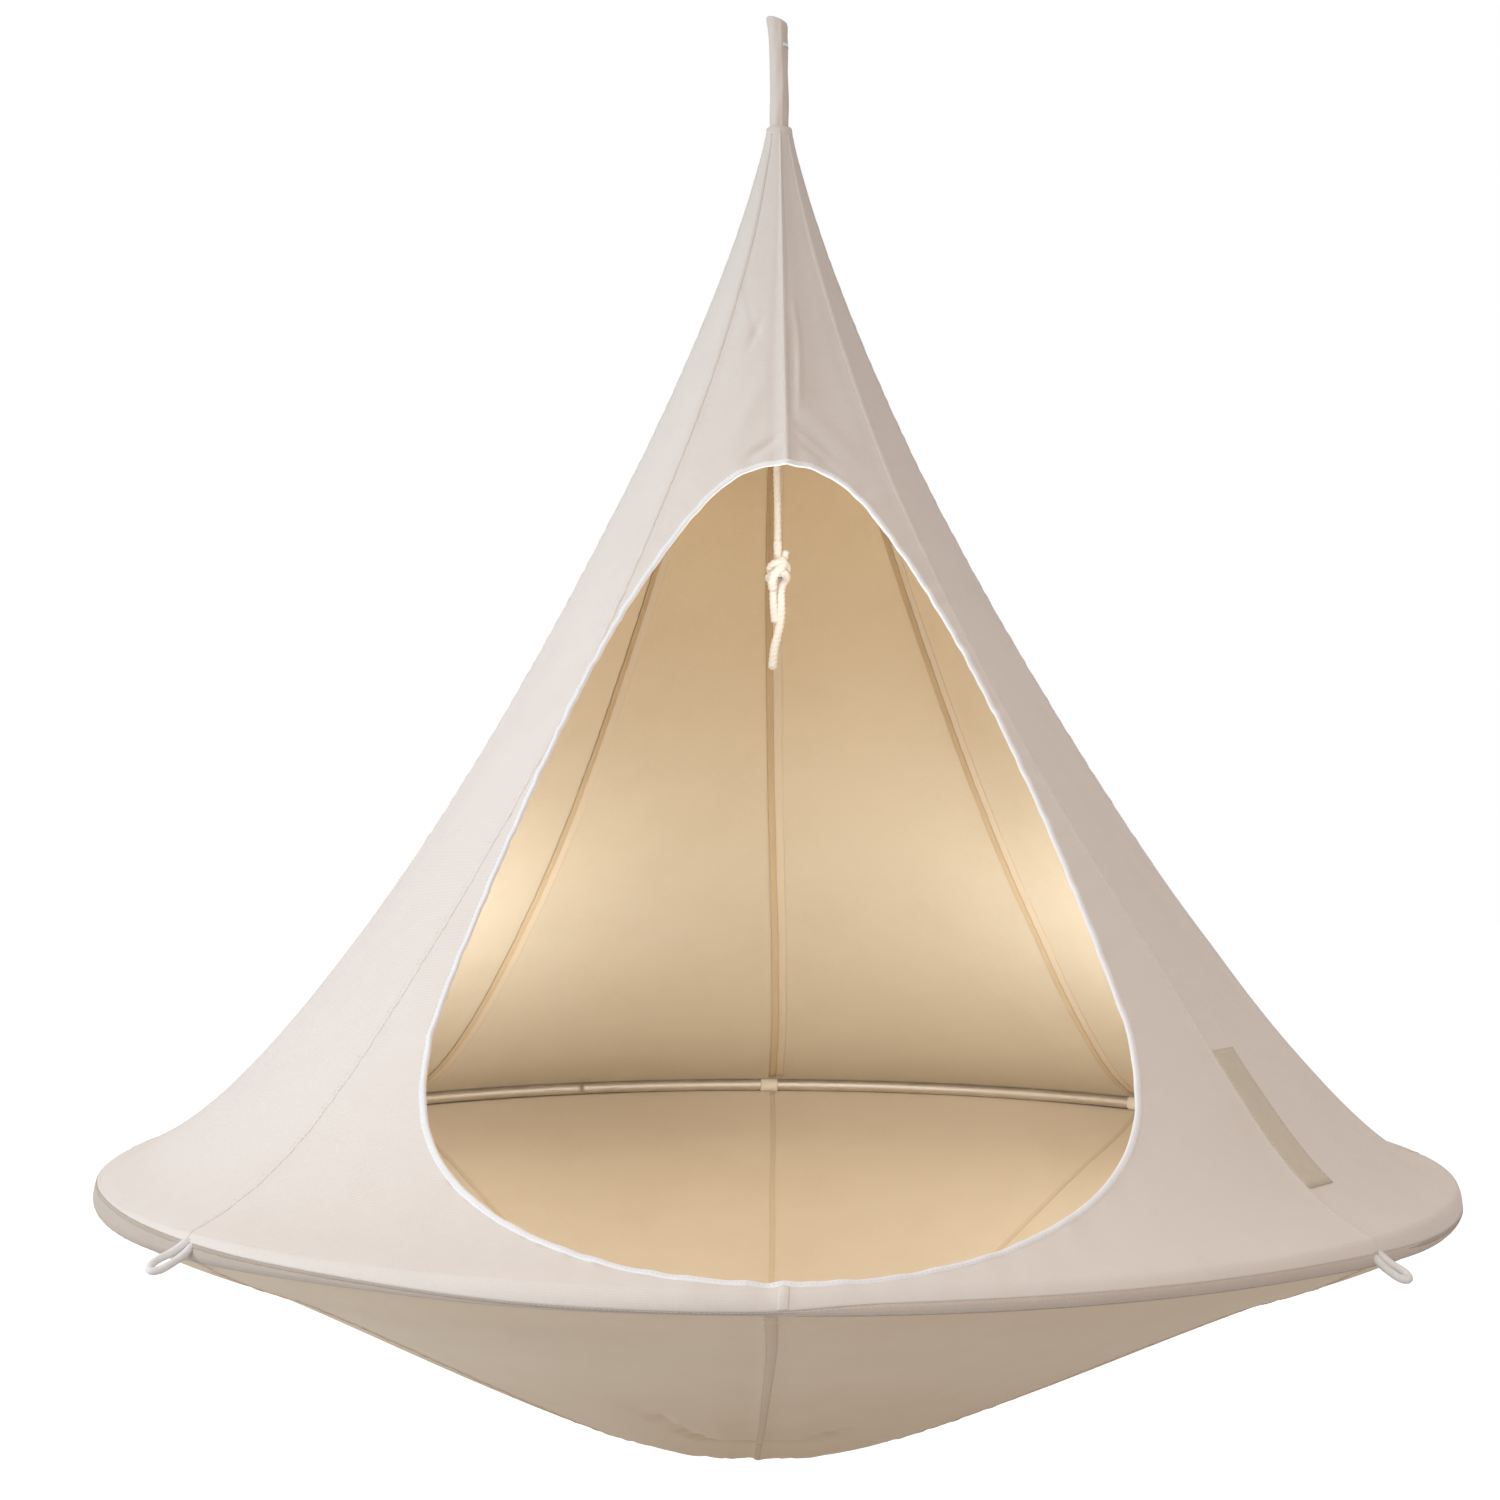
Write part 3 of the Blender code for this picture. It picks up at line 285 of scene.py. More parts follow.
def canopy_place(nominal, v):
    """Angle, radius and height on the canopy. v is -1 at the hem, 0 at the tube's top and 1 at the collar."""
    nominal, v = paired(nominal, v)
    edge = edge_roll(nominal)
    roll = np.radians(edge + (CONE_LEAVE - edge) * (1.0 + np.minimum(v, 0.0)))
    share = np.clip(v, 0.0, 1.0)
    height = CONE_EDGE_HEIGHT + (CONE_RISE - CONE_EDGE_HEIGHT) * share
    radius = cone_radius(share) * facet_factor(nominal, height)
    on_cone = v >= 0.0
    radius = np.where(on_cone, radius, RING_RADIUS + ROLL_RADIUS * np.cos(roll))
    height = np.where(on_cone, height, ROLL_RADIUS * np.sin(roll) - rim_sag(nominal, roll))
    return nominal + wander(nominal, height), radius, height


def v_of(height):
    return (height - CONE_EDGE_HEIGHT) / (CONE_RISE - CONE_EDGE_HEIGHT)


def door_half_width(height):
    """Half the door's width at a height, and a negative number above and below the door."""
    up = np.clip((height - DOOR_WIDEST_HEIGHT) / (DOOR_TOP - DOOR_WIDEST_HEIGHT), 0.0, 1.0)
    down = np.clip((DOOR_WIDEST_HEIGHT - height) / (DOOR_WIDEST_HEIGHT - DOOR_BOTTOM), 0.0, 1.0)
    blunt = DOOR_UPPER_POWERS[1] - DOOR_BLUNTING * np.clip((up - 0.8) / 0.2, 0.0, 1.0) ** 2
    upper = (1.0 - up ** DOOR_UPPER_POWERS[0]) ** blunt
    lower = (1.0 - down ** DOOR_LOWER_POWERS[0]) ** DOOR_LOWER_POWERS[1]
    width = DOOR_HALF_WIDTH * np.where(height >= DOOR_WIDEST_HEIGHT, upper, lower)
    return np.where((height > DOOR_BOTTOM) & (height < DOOR_TOP), width, -1.0)


def door_outline(count):
    """Points of the door's outline, x and height, evenly spaced, from the top towards +X."""
    up = np.sin(np.linspace(0.0, math.pi / 2.0, 1500)) ** 2
    heights = np.concatenate([DOOR_TOP - (DOOR_TOP - DOOR_WIDEST_HEIGHT) * up,
                              DOOR_WIDEST_HEIGHT - (DOOR_WIDEST_HEIGHT - DOOR_BOTTOM) * up[1:]])
    widths = np.maximum(door_half_width(heights), 0.0)
    h = np.concatenate([heights, heights[::-1][1:]])
    x = np.concatenate([widths, -widths[::-1][1:]]) + np.interp(h, *DOOR_TABLE)
    run = run_of(stacked(x, h))
    at = np.linspace(0.0, run[-1], count, endpoint=False)
    return np.interp(at, run, x), np.interp(at, run, h), run[-1]


OUTLINE_X, OUTLINE_H, OUTLINE_LENGTH = door_outline(480)


def ripple(along, seed):
    """Uneven small waves along a line, from -1 to 1, the same each run."""
    return sum(size * np.sin(along * 2.0 * math.pi / wave + shift * seed)
               for size, wave, shift in ((0.45, 0.0235, 1.0), (0.30, 0.0148, 2.1), (0.25, 0.061, 0.7)))


def creased(x, y, table, power):
    """Height of a table's creases at flat places. Each crease tapers at both ends."""
    total = np.zeros_like(x)
    for x1, y1, x2, y2, width, rise in table:
        step = np.array([x2 - x1, y2 - y1])
        share = ((x - x1) * step[0] + (y - y1) * step[1]) / (step @ step)
        away = np.abs((x - x1) * step[1] - (y - y1) * step[0]) / math.hypot(*step)
        taper = np.sin(math.pi * np.clip(share, 0.0, 1.0)) ** power
        total += np.where((share > 0.0) & (share < 1.0), rise * taper * bell(away / width), 0.0)
    return total


def door_gap(x, height, chunk=4000):
    """How far places in front are from the door's outline, and how far along it their nearest points are."""
    found, nearest = np.empty(len(x)), np.empty(len(x))
    for start in range(0, len(x), chunk):
        part = slice(start, start + chunk)
        gaps = np.hypot(x[part, None] - OUTLINE_X, height[part, None] - OUTLINE_H)
        found[part], nearest[part] = gaps.min(axis=1), gaps.argmin(axis=1)
    return found, nearest * OUTLINE_LENGTH / len(OUTLINE_X)


def relief(nominal, v):
    """How far the canopy's cloth stands out from its even surface."""
    angle, radius, height = canopy_place(nominal, v)
    out = np.zeros_like(radius)
    offset = from_seam(nominal)
    beside = np.abs(np.radians(offset) * radius)
    seed = np.mod(np.round((nominal - offset) / GORE_STEP), 8) * 1.7
    narrow = np.clip(radius / 0.12, 0.25, 1.0)
    proud = np.where(np.abs(nominal - offset) < 10.0, 1.0, 0.4)
    out += 0.0007 * proud * bell(beside / (0.0040 * narrow))
    out -= 0.0010 * proud * narrow * bell((beside - 0.013 * narrow) / (0.007 * narrow))
    out += 0.0006 * narrow * bell(beside / 0.020) * ripple(height, seed)
    gore = np.mod(np.floor(nominal / GORE_STEP), 8)
    belly = np.sin(np.radians(off_seam(nominal) * 4.0)) ** 2
    out += 0.0024 * belly * np.sin(height * 5.0 + gore * 2.3) * narrow * np.clip(height * 6, 0, 1)
    x = radius * np.sin(np.radians(angle))
    front = np.cos(np.radians(angle)) > 0.2
    near = front & (np.abs(x) < 0.45) & (height < 0.90)
    if np.any(near):
        found, along = door_gap(x[near], height[near])
        out[near] += 0.0009 * bell(found / 0.022) * ripple(along * 0.6, 3.3)
    out += np.where(front, creased(x, height, CREASES, 1.2), 0.0)
    fade = np.clip((1.0 - v) / 0.03, 0.0, 1.0) * np.clip(1.0 + v, 0.0, 1.0)
    near_rim = np.maximum(v, 0.0) / 0.014
    out -= np.interp(within_turn(nominal), *zip(*RIGHT_DIP)) * near_rim * np.exp(1.0 - near_rim)
    return out * fade + RIM_LIP * np.clip(-v, 0.0, 1.0) ** 2.5


def surface(place, nominal, v, low, high):
    """Point and outward normal of a surface given by its place function."""
    turn = 0.05
    step = 5e-4
    here = polar(*place(nominal, v))
    across = polar(*place(nominal + turn, v)) - polar(*place(nominal - turn, v))
    up = polar(*place(nominal, np.minimum(v + step, high))) - polar(*place(nominal, np.maximum(v - step, low)))
    return here, unit(np.cross(across, up))


def on_canopy(nominal, v, lift=0.0):
    """Point and normal on the canopy's outside, lifted off it."""
    nominal, v = paired(nominal, v)
    here, normal = surface(canopy_place, nominal, v, -1.0, 1.0)
    lift = np.asarray(lift) + relief(nominal, v)
    return here + normal * lift[..., None], normal


def nominal_at(x, height):
    """The even angle of the canopy's point with this x and height, in front."""
    x = x - np.interp(height, *LEAN_TABLE)
    nominal = np.degrees(np.arcsin(np.clip(x / cone_radius(v_of(height)), -1.0, 1.0)))
    for _ in range(25):
        radius = cone_radius(v_of(height)) * facet_factor(nominal, height)
        nominal = np.degrees(np.arcsin(np.clip(x / radius, -1.0, 1.0))) - wander(nominal, height)
    return nominal


def floor_height(radius):
    lift = np.hypot(np.maximum(0.0, radius - DISC_RADIUS), FLOOR_ROUNDING)
    edge = math.hypot(FLOOR_EDGE_RADIUS - DISC_RADIUS, FLOOR_ROUNDING)
    return FLOOR_EDGE_HEIGHT + FLOOR_SLOPE * (lift - edge)


def floor_place(nominal, w):
    """Angle, radius and height on the floor. w is 0 at the ring and 1 at the middle."""
    nominal, w = paired(nominal, w)
    radius = FLOOR_EDGE_RADIUS + (FLOOR_TIP_RADIUS - FLOOR_EDGE_RADIUS) * w
    turned = nominal + sum(near_seam(nominal, angle) * np.interp(w, *zip(*points))
                           for angle, points in FLOOR_WANDER.items())
    sag = rim_sag(nominal, math.radians(FLOOR_LEAVE)) * bell(w / 0.09)
    return turned, radius, floor_height(radius) - sag


def on_floor(nominal, w, lift=0.0):
    """Point and outward normal, which is downward, on the floor's underside."""
    nominal, w = paired(nominal, w)
    here, normal = surface(floor_place, nominal, w, 0.0, 1.0)
    offset = from_seam(nominal)
    angle, radius, _ = floor_place(nominal, w)
    beside = np.abs(np.radians(offset) * radius)
    belly = np.sin(np.radians(offset * 4.0)) ** 2
    out = (0.0024 * belly - 0.0016) * np.sin(math.pi * np.clip(w, 0, 1)) ** 1.5
    out = out + 0.0038 * bell((w - 0.085) / 0.06) * np.clip(w / 0.03, 0.0, 1.0)
    out = out + 0.0004 * bell(beside / 0.005) - 0.0007 * bell((beside - 0.014) / 0.008)
    out = out + 0.0006 * bell(beside / 0.02) * ripple(radius, 5.0 + nominal - offset)
    out = out - 0.0015 * bell((radius - 0.52) / 0.12) + 0.0006 * bell((radius - 0.21) / 0.08)
    turn = np.radians(angle)
    out = out + creased(radius * np.sin(turn), radius * np.cos(turn), FLOOR_CREASES, 0.8)
    gathers = sum(size * np.sin(np.radians(nominal * turns + phase)) for size, turns, phase in FLOOR_GATHERS)
    reach = bell((radius - 0.085) / 0.10) * np.clip((radius - 0.03) / 0.04, 0.0, 1.0)
    out = out + 0.0009 * gathers * reach
    edge = np.clip(w / 0.01, 0.0, 1.0) * np.clip((radius - 0.02) / 0.05, 0.0, 1.0)
    lift = np.asarray(lift) + out * edge
    return here - normal * lift[..., None], -normal


# Materials.


def start_material(name):
    made = bpy.data.materials.new(name)
    made.use_nodes = True
    return made, made.node_tree, made.node_tree.nodes["Principled BSDF"]


def feed(tree, made, **inputs):
    """Sets a node's inputs, each by its name or by i and its number. Another node's output is linked."""
    for key, value in inputs.items():
        numbered = key[0] == "i" and key[1:].isdigit()
        socket = made.inputs[int(key[1:]) if numbered else key.replace("_", " ")]
        if isinstance(value, bpy.types.NodeSocket):
            tree.links.new(value, socket)
        else:
            socket.default_value = value
    return made


def node(tree, kind, settings=None, **inputs):
    made = tree.nodes.new(kind)
    for key, value in (settings or {}).items():
        setattr(made, key, value)
    return feed(tree, made, **inputs)


def colour(rgb):
    """Linear colour from sRGB numbers of 0 to 255."""
    return tuple(((c / 255.0 + 0.055) / 1.055) ** 2.4 if c > 10 else c / 255.0 / 12.92 for c in rgb) + (1.0,)


def noise(tree, coords, scale, detail=2.0, roughness=0.5, stretch=(1.0, 1.0, 1.0)):
    spaced = node(tree, "ShaderNodeMapping", Vector=coords, Scale=stretch)
    return node(tree, "ShaderNodeTexNoise", Vector=spaced.outputs[0], Scale=scale, Detail=detail,
                Roughness=roughness).outputs["Fac"]


def maths(tree, operation, a, b=0.5):
    return node(tree, "ShaderNodeMath", {"operation": operation}, i0=a, i1=b).outputs[0]


def weighed(tree, *parts):
    """The sum of values, each times its weight."""
    total, *rest = (maths(tree, "MULTIPLY", value, weight) for value, weight in parts)
    for part in rest:
        total = maths(tree, "ADD", total, part)
    return total


def blend_colour(tree, share, a, b, how="MIX"):
    return node(tree, "ShaderNodeMix", {"data_type": "RGBA", "blend_type": how}, i0=share, i6=a, i7=b).outputs[2]


def ranged(tree, value, low, high, to_low=0.0, to_high=1.0):
    return node(tree, "ShaderNodeMapRange", Value=value, From_Min=low, From_Max=high, To_Min=to_low,
                To_Max=to_high).outputs[0]


def bumped(tree, height, strength, distance):
    return node(tree, "ShaderNodeBump", Strength=strength, Distance=distance, Height=height).outputs[0]


def woven(name, light, dark, thread=0.0009, patch=14.0, rough=0.86, depth=0.00025, twill=0.0, shade=None):
    """Woven cloth on the map "cloth", which is in metres: threads both ways, slubs and soft patches.

    A shade is an axis, where on it the shade starts and where it is full, and its tint.
    """
    made, tree, shader = start_material(name)
    coords = node(tree, "ShaderNodeUVMap", {"uv_map": "cloth"}).outputs[0]
    warp = noise(tree, coords, 1.0, 2.0, 0.6, (1.0 / thread, 0.06 / thread, 1.0))
    weft = noise(tree, coords, 1.0, 2.0, 0.6, (0.06 / thread, 1.0 / thread, 1.0))
    threads = maths(tree, "ADD", warp, weft)
    patches = noise(tree, coords, patch, 3.0, 0.55)
    soil = noise(tree, coords, patch * 0.22)
    tone = weighed(tree, (threads, 0.32), (patches, 0.38), (soil, 0.42))
    base = blend_colour(tree, ranged(tree, tone, 0.36, 0.76), colour(dark), colour(light))
    if shade:
        axis, start, end, tint = shade
        place = node(tree, "ShaderNodeSeparateXYZ", Vector=node(tree, "ShaderNodeTexCoord").outputs["Object"])
        deep = blend_colour(tree, 1.0, base, (*tint, 1.0), "MULTIPLY")
        base = blend_colour(tree, ranged(tree, place.outputs[axis], start, end), base, deep)
    lines = node(tree, "ShaderNodeMapping", Vector=coords, Rotation=(0.0, 0.0, math.radians(45.0 * twill)))
    across, down = (node(tree, "ShaderNodeTexWave", {"bands_direction": way}, Vector=lines.outputs[0],
                         Scale=0.5 / thread / math.pi, Distortion=0.6, Detail=1.0).outputs["Fac"] for way in "XY")
    weave = weighed(tree, (across, down), (threads, 0.8))
    feed(tree, shader, Base_Color=base, Normal=bumped(tree, weave, 0.55, depth), Sheen_Weight=0.15,
         Sheen_Roughness=0.5, Specular_IOR_Level=0.25,
         Roughness=ranged(tree, threads, 0.6, 1.4, rough - 0.07, min(1.0, rough + 0.07)))
    return made


def metal(name, light, dark, rough, grain):
    """Bare metal with drawn or brushed streaks and soft dull patches."""
    made, tree, shader = start_material(name)
    coords = node(tree, "ShaderNodeTexCoord").outputs["Object"]
    streaks = noise(tree, coords, 1.0, 3.0, 0.6, grain)
    dull = noise(tree, coords, 22.0, 3.0, 0.55)
    tone = ranged(tree, maths(tree, "ADD", streaks, dull), 0.6, 1.4)
    feed(tree, shader, Base_Color=blend_colour(tree, tone, colour(dark), colour(light)), Metallic=1.0,
         Roughness=ranged(tree, dull, 0.3, 0.7, rough - 0.07, rough + 0.09),
         Normal=bumped(tree, streaks, 0.25, 0.0001))
    return made


def yarn(name, light, dark, fibre=0.0005, rough=0.9):
    """Soft cord yarn: fine fibres along the map and slightly uneven colour."""
    made, tree, shader = start_material(name)
    coords = node(tree, "ShaderNodeUVMap", {"uv_map": "cloth"}).outputs[0]
    fibres = noise(tree, coords, 1.0, 3.0, 0.65, (1.0 / fibre, 0.12 / fibre, 1.0))
    tone = ranged(tree, weighed(tree, (fibres, 0.7), (noise(tree, coords, 90.0), 0.45)), 0.35, 0.8)
    feed(tree, shader, Base_Color=blend_colour(tree, tone, colour(dark), colour(light)),
         Roughness=ranged(tree, fibres, 0.0, 1.0, rough - 0.08, min(1.0, rough + 0.06)),
         Normal=bumped(tree, fibres, 0.6, 0.0003), Sheen_Weight=0.2, Specular_IOR_Level=0.2)
    return made


FLOOR_SHADE = ("Z", -1.45, -1.62, (0.84, 0.785, 0.70))
# The neck's cloth is the canvas darkened as painted shade at the top.
NECK = woven("neck_cloth", (220, 211, 204), (211, 201, 192))
# The hem's cloth is darker than the canvas, partly as painted shade on a band that faces down; its tint towards -X is
# painted shade on the left.
HEM = woven("hem_cloth", (220, 207, 196), (209, 195, 182), shade=("X", -0.10, -0.50, (0.80, 0.785, 0.77)))
# SHADE_LINE is darker cloth that paints the shade lines along the rim's hem.
SHADE_LINE = woven("painted_shade_line", (190, 175, 162), (174, 158, 144))
# The canvas's tint towards the collar (+Z) is painted shade on the upper cone.
CANVAS = woven("canvas_outside", (236, 228, 221), (228, 218, 209),
               shade=("Z", -0.80, -0.18, (0.84, 0.845, 0.85)))
# INSIDE and FLOOR_IN are the cloths' inner faces, darker and warmer than their outsides as painted shade and warm
# bounced light.
# INSIDE's warm tint towards the top is painted bounced light.
INSIDE = woven("canvas_inside", (205, 194, 174), (195, 182, 159), shade=("Z", -1.05, -0.60, (1.10, 1.02, 0.90)))
FLOOR_OUT = woven("floor_canvas", (244, 226, 201), (235, 213, 186), shade=FLOOR_SHADE)
FLOOR_IN = woven("floor_inside", (212, 197, 175), (203, 186, 160))
FLOOR_SEAM = woven("floor_seam_cloth", (230, 211, 187), (219, 198, 172), shade=FLOOR_SHADE)
TAPE = woven("door_tape", (250, 250, 252), (238, 239, 243), thread=0.0006, patch=60.0, rough=0.7, twill=1.0)
# The webbing's darker, browner tint towards the top is painted shade inside the upper cone.
STRAP = woven("strap_webbing", (199, 180, 150), (185, 164, 131), thread=0.0011, patch=40.0, depth=0.0004,
              shade=("Z", -1.15, -0.45, (0.84, 0.74, 0.64)))
FLOOR_TAPE = woven("inner_floor_tape", (203, 187, 160), (191, 173, 145))
# The seams' linings take the inner faces' painted tone.
INNER_SEAM = woven("inner_seam_cloth", (211, 196, 174), (201, 184, 159))
TAB = woven("tab_webbing", (240, 231, 217), (228, 217, 200), thread=0.0011, patch=60.0, depth=0.0004)
LABEL = woven("woven_label", (217, 207, 188), (205, 194, 174), thread=0.0005, patch=70.0, rough=0.8)
THREAD = yarn("sewing_thread", (240, 236, 230), (222, 214, 204), fibre=0.0002)
FLOOR_THREAD = yarn("floor_thread", (214, 196, 172), (198, 178, 152), fibre=0.0002)
BROWN_THREAD = yarn("brown_thread", (158, 126, 96), (128, 98, 70), fibre=0.0002)
ROPE = yarn("soft_rope", (243, 239, 233), (228, 223, 216))
LOOP = yarn("loop_cord", (248, 248, 248), (232, 232, 232), fibre=0.0003, rough=0.82)
ALUMINIUM = metal("drawn_aluminium", (226, 219, 210), (208, 200, 190), 0.56, (60.0, 60.0, 900.0))
STEEL = metal("satin_steel", (206, 208, 210), (180, 182, 185), 0.28, (300.0, 300.0, 40.0))

# Mesh making.


def new_piece(name, points, faces, materials, uvs=None, body="cocoon", slot=None, replaces=(), smooth=True):
    """A piece from points and faces. uvs is one pair for each corner of each face."""
    mesh = bpy.data.meshes.new(name)
    mesh.from_pydata(np.asarray(points).reshape(-1, 3).tolist(), [], [list(f) for f in faces])
    if uvs is not None:
        layer = mesh.uv_layers.new(name="cloth")
        layer.data.foreach_set("uv", np.asarray(uvs, np.float32).ravel())
    for finish in materials if isinstance(materials, (list, tuple)) else [materials]:
        mesh.materials.append(finish)
    mesh.polygons.foreach_set("use_smooth", [smooth] * len(mesh.polygons))
    mesh.update()
    obj = bpy.data.objects.new(name, mesh)
    bpy.context.collection.objects.link(obj)
    if body:
        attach(obj, body)
    if replaces:
        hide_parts(*replaces)
    return obj


def loft(name, rings, materials, closed=False, **options):
    """A closed tube through rings of points, shaped (rings, points, 3). Its map is in metres."""
    rings = np.asarray(rings, float)
    count, sides = rings.shape[:2]
    along = run_of(rings.mean(axis=1))
    around = run_of(np.concatenate([rings[count // 2], rings[count // 2][:1]]))
    faces, uvs = [], []
    last = count if closed else count - 1
    for i in range(last):
        j = (i + 1) % count
        far = along[i + 1] if i + 1 < count else along[-1] + along[1]
        for k in range(sides):
            m = (k + 1) % sides
            faces.append((i * sides + k, i * sides + m, j * sides + m, j * sides + k))
            uvs += [(around[k], along[i]), (around[k + 1], along[i]), (around[k + 1], far), (around[k], far)]
    if not closed:
        for ring, order in ((0, range(sides - 1, -1, -1)), (count - 1, range(sides))):
            faces.append([ring * sides + k for k in order])
            uvs += [(around[k], along[ring]) for k in order]
    obj = new_piece(name, rings, faces, materials, uvs, **options)
    outward(obj)
    return obj


def outward(obj):
    """Turns a closed mesh's faces outward."""
    work = bmesh.new()
    work.from_mesh(obj.data)
    bmesh.ops.recalc_face_normals(work, faces=work.faces)
    work.to_mesh(obj.data)
    work.free()


def loft_rows(name, rows, materials, **options):
    """A loft through rows that run along it."""
    return loft(name, np.array(rows).transpose(1, 0, 2), materials, **options)


def both_faces(values):
    """Values along a sheet's outside, then back along its inside, each with whether it is outside."""
    return [(True, v) for v in values] + [(False, v) for v in values[::-1]]


def sweep(name, path, side, up, section, materials, closed=False, **options):
    """A section carried along a path, with its side and up directions there."""
    section = np.asarray(section, float)
    if section.ndim == 2:
        section = np.broadcast_to(section, (len(path), *section.shape))
    rings = (path[:, None, :] + section[..., 0:1] * side[:, None, :] + section[..., 1:2] * up[:, None, :])
    return loft(name, rings, materials, closed=closed, **options)


def tangents(path, closed=False):
    if closed:
        return unit(np.roll(path, -1, axis=0) - np.roll(path, 1, axis=0))
    return unit(np.gradient(path, axis=0))


def carried_frames(path, start, closed=False):
    """Side and up directions carried along a path without twist."""
    forward = tangents(path, closed)
    side = np.empty_like(path)
    side[0] = unit(np.asarray(start, float) - forward[0] * np.dot(start, forward[0]))
    for i in range(1, len(path)):
        side[i] = unit(side[i - 1] - forward[i] * np.dot(side[i - 1], forward[i]))
    return side, np.cross(forward, side)


def resampled(path, count, closed=False):
    """Evenly spaced points on a smooth curve through the given ones."""
    path = np.asarray(path, float)
    points = np.concatenate([path[-2:], path, path[:3]]) if closed else np.concatenate(
        [[2 * path[0] - path[1]], path, [2 * path[-1] - path[-2]]])
    first = 2 if closed else 1
    spans = len(path) if closed else len(path) - 1
    fine = []
    for i in range(spans):
        a, b, c, d = points[first + i - 1:first + i + 3]
        for t in np.linspace(0.0, 1.0, 12, endpoint=False):
            fine.append(0.5 * (2 * b + (c - a) * t + (2 * a - 5 * b + 4 * c - d) * t * t
                               + (3 * b - a - 3 * c + d) * t ** 3))
    fine.append(points[first + spans])
    fine = np.array(fine)
    run = run_of(fine)
    at = np.linspace(0.0, run[-1], count, endpoint=not closed)
    return interpolated(at, run, fine), run[-1]


def strand_sections(count, length, radius, pitch, strands=3, depth=0.16, sides=18, ends=0.0):
    """Lobed sections that turn along a laid rope."""
    turn = np.linspace(0.0, length / pitch * 2.0 * math.pi, count)[:, None]
    angle = circle(sides)[None, :]
    lobes = np.abs(np.cos((angle - turn) * strands / 2.0))
    size = radius * (1.0 - depth + depth * 1.35 * lobes ** 0.8 - depth * 0.1)
    if ends:
        at = np.linspace(0.0, length, count)
        cap = np.minimum(at, length - at)
        size = size * np.sqrt(np.clip(1.0 - (1.0 - np.clip(cap / ends, 0.02, 1.0)) ** 2, 0.0, 1.0))[:, None]
    return stacked(size * np.cos(angle), size * np.sin(angle))


def rope_piece(name, path, radius, pitch, material, closed=False, start=(0.0, 1.0, 0.0), step=0.0012,
               strands=3, depth=0.16, ends=0.0, **options):
    """A laid rope along a smooth path."""
    length = resampled(path, 10, closed)[1]
    count = max(12, int(length / step))
    points, length = resampled(path, count, closed)
    side, up = carried_frames(points, start, closed)
    if closed:
        pitch = length / round(length / pitch)
    sections = strand_sections(count, length * ((count - 1) / count if closed else 1.0), radius, pitch, strands,
                               depth, ends=ends)
    return sweep(name, points, side, up, sections, material, closed, **options)


def stitches(name, row, material, slot, length=0.0028, width=0.0006):
    """Short thread stitches that lie on a surface, from their points, directions and normals."""
    points, along, up = row
    side = np.cross(along, up)
    corner = np.stack([points - along * length / 2.0, points + side * width / 2.0, points + along * length / 2.0,
                       points - side * width / 2.0, points + up * width * 0.6, points - up * width * 0.6], axis=1)
    shape = [(k, (k + 1) % 4, 4) for k in range(4)] + [((k + 1) % 4, k, 5) for k in range(4)]
    faces = [tuple(6 * i + k for k in f) for i in range(len(points)) for f in shape]
    uvs = np.tile(np.array([(0.0, 0.0), (0.001, 0.0), (0.0005, 0.002)]), (len(faces), 1))
    return new_piece(name, corner, faces, material, uvs, slot=slot, smooth=False)


def row_of(make, count):
    """Points, directions and normals of a row of stitches. make(share) gives point and normal."""
    share = (np.arange(count) + 0.5) / count
    here, normal = make(share)
    ahead, _ = make(share + 0.2 / count)
    return here, unit(ahead - here), normal


# Camera.

CAMERA_PLACE = (-0.03182, -2.32, -0.9903)
CAMERA_RISE = 0.05511
CAMERA_ROLL = 0.00414
CAMERA_LENS = 47.52

camera_data = bpy.data.cameras.new("photo_camera")
camera_data.sensor_width = 36.0
camera_data.lens = CAMERA_LENS
camera = bpy.data.objects.new("photo_camera", camera_data)
bpy.context.collection.objects.link(camera)
camera.matrix_world = (Matrix.Translation(CAMERA_PLACE) @ Matrix.Rotation(math.pi / 2.0 + CAMERA_RISE, 4, "X")
                       @ Matrix.Rotation(CAMERA_ROLL, 4, "Z"))
bpy.context.scene.camera = camera

# The inner cord: its run, its eye round the crown eye, and its knot with the doubled end.

CORD_TOP_Z = -0.1977
CORD_DROP = 0.4270
CORD_SWAY = 0.004
CORD_DIAMETER = 0.0084
CORD_EYE_Z = -0.1861
CORD_EYE_RADIUS = 0.0071
KNOT_TOP_Z = CORD_TOP_Z - CORD_DROP

shares = np.linspace(0.0, 1.0, 25)
cord_path = stacked(-CORD_SWAY * np.sin(math.pi * shares) ** 2, 0.0, CORD_TOP_Z - CORD_DROP * shares)
cord_length = resampled(cord_path, 10)[1]
inner_cord = rope_piece("inner_rope", cord_path, CORD_DIAMETER / 2.0, 0.019, ROPE, start=(1.0, 0.0, 0.0),
                        step=0.0016, body="cord", slot="rope", replaces=["inner_cord"])

eye_path = stacked(0.0, CORD_EYE_RADIUS * np.sin(circle(24)), CORD_EYE_Z + CORD_EYE_RADIUS * np.cos(circle(24)))
rope_piece("inner_rope_eye", eye_path, CORD_DIAMETER / 2.0, 0.017, ROPE, closed=True, start=(1.0, 0.0, 0.0),
           body="cord", slot="rope", replaces=["inner_cord_eye"])

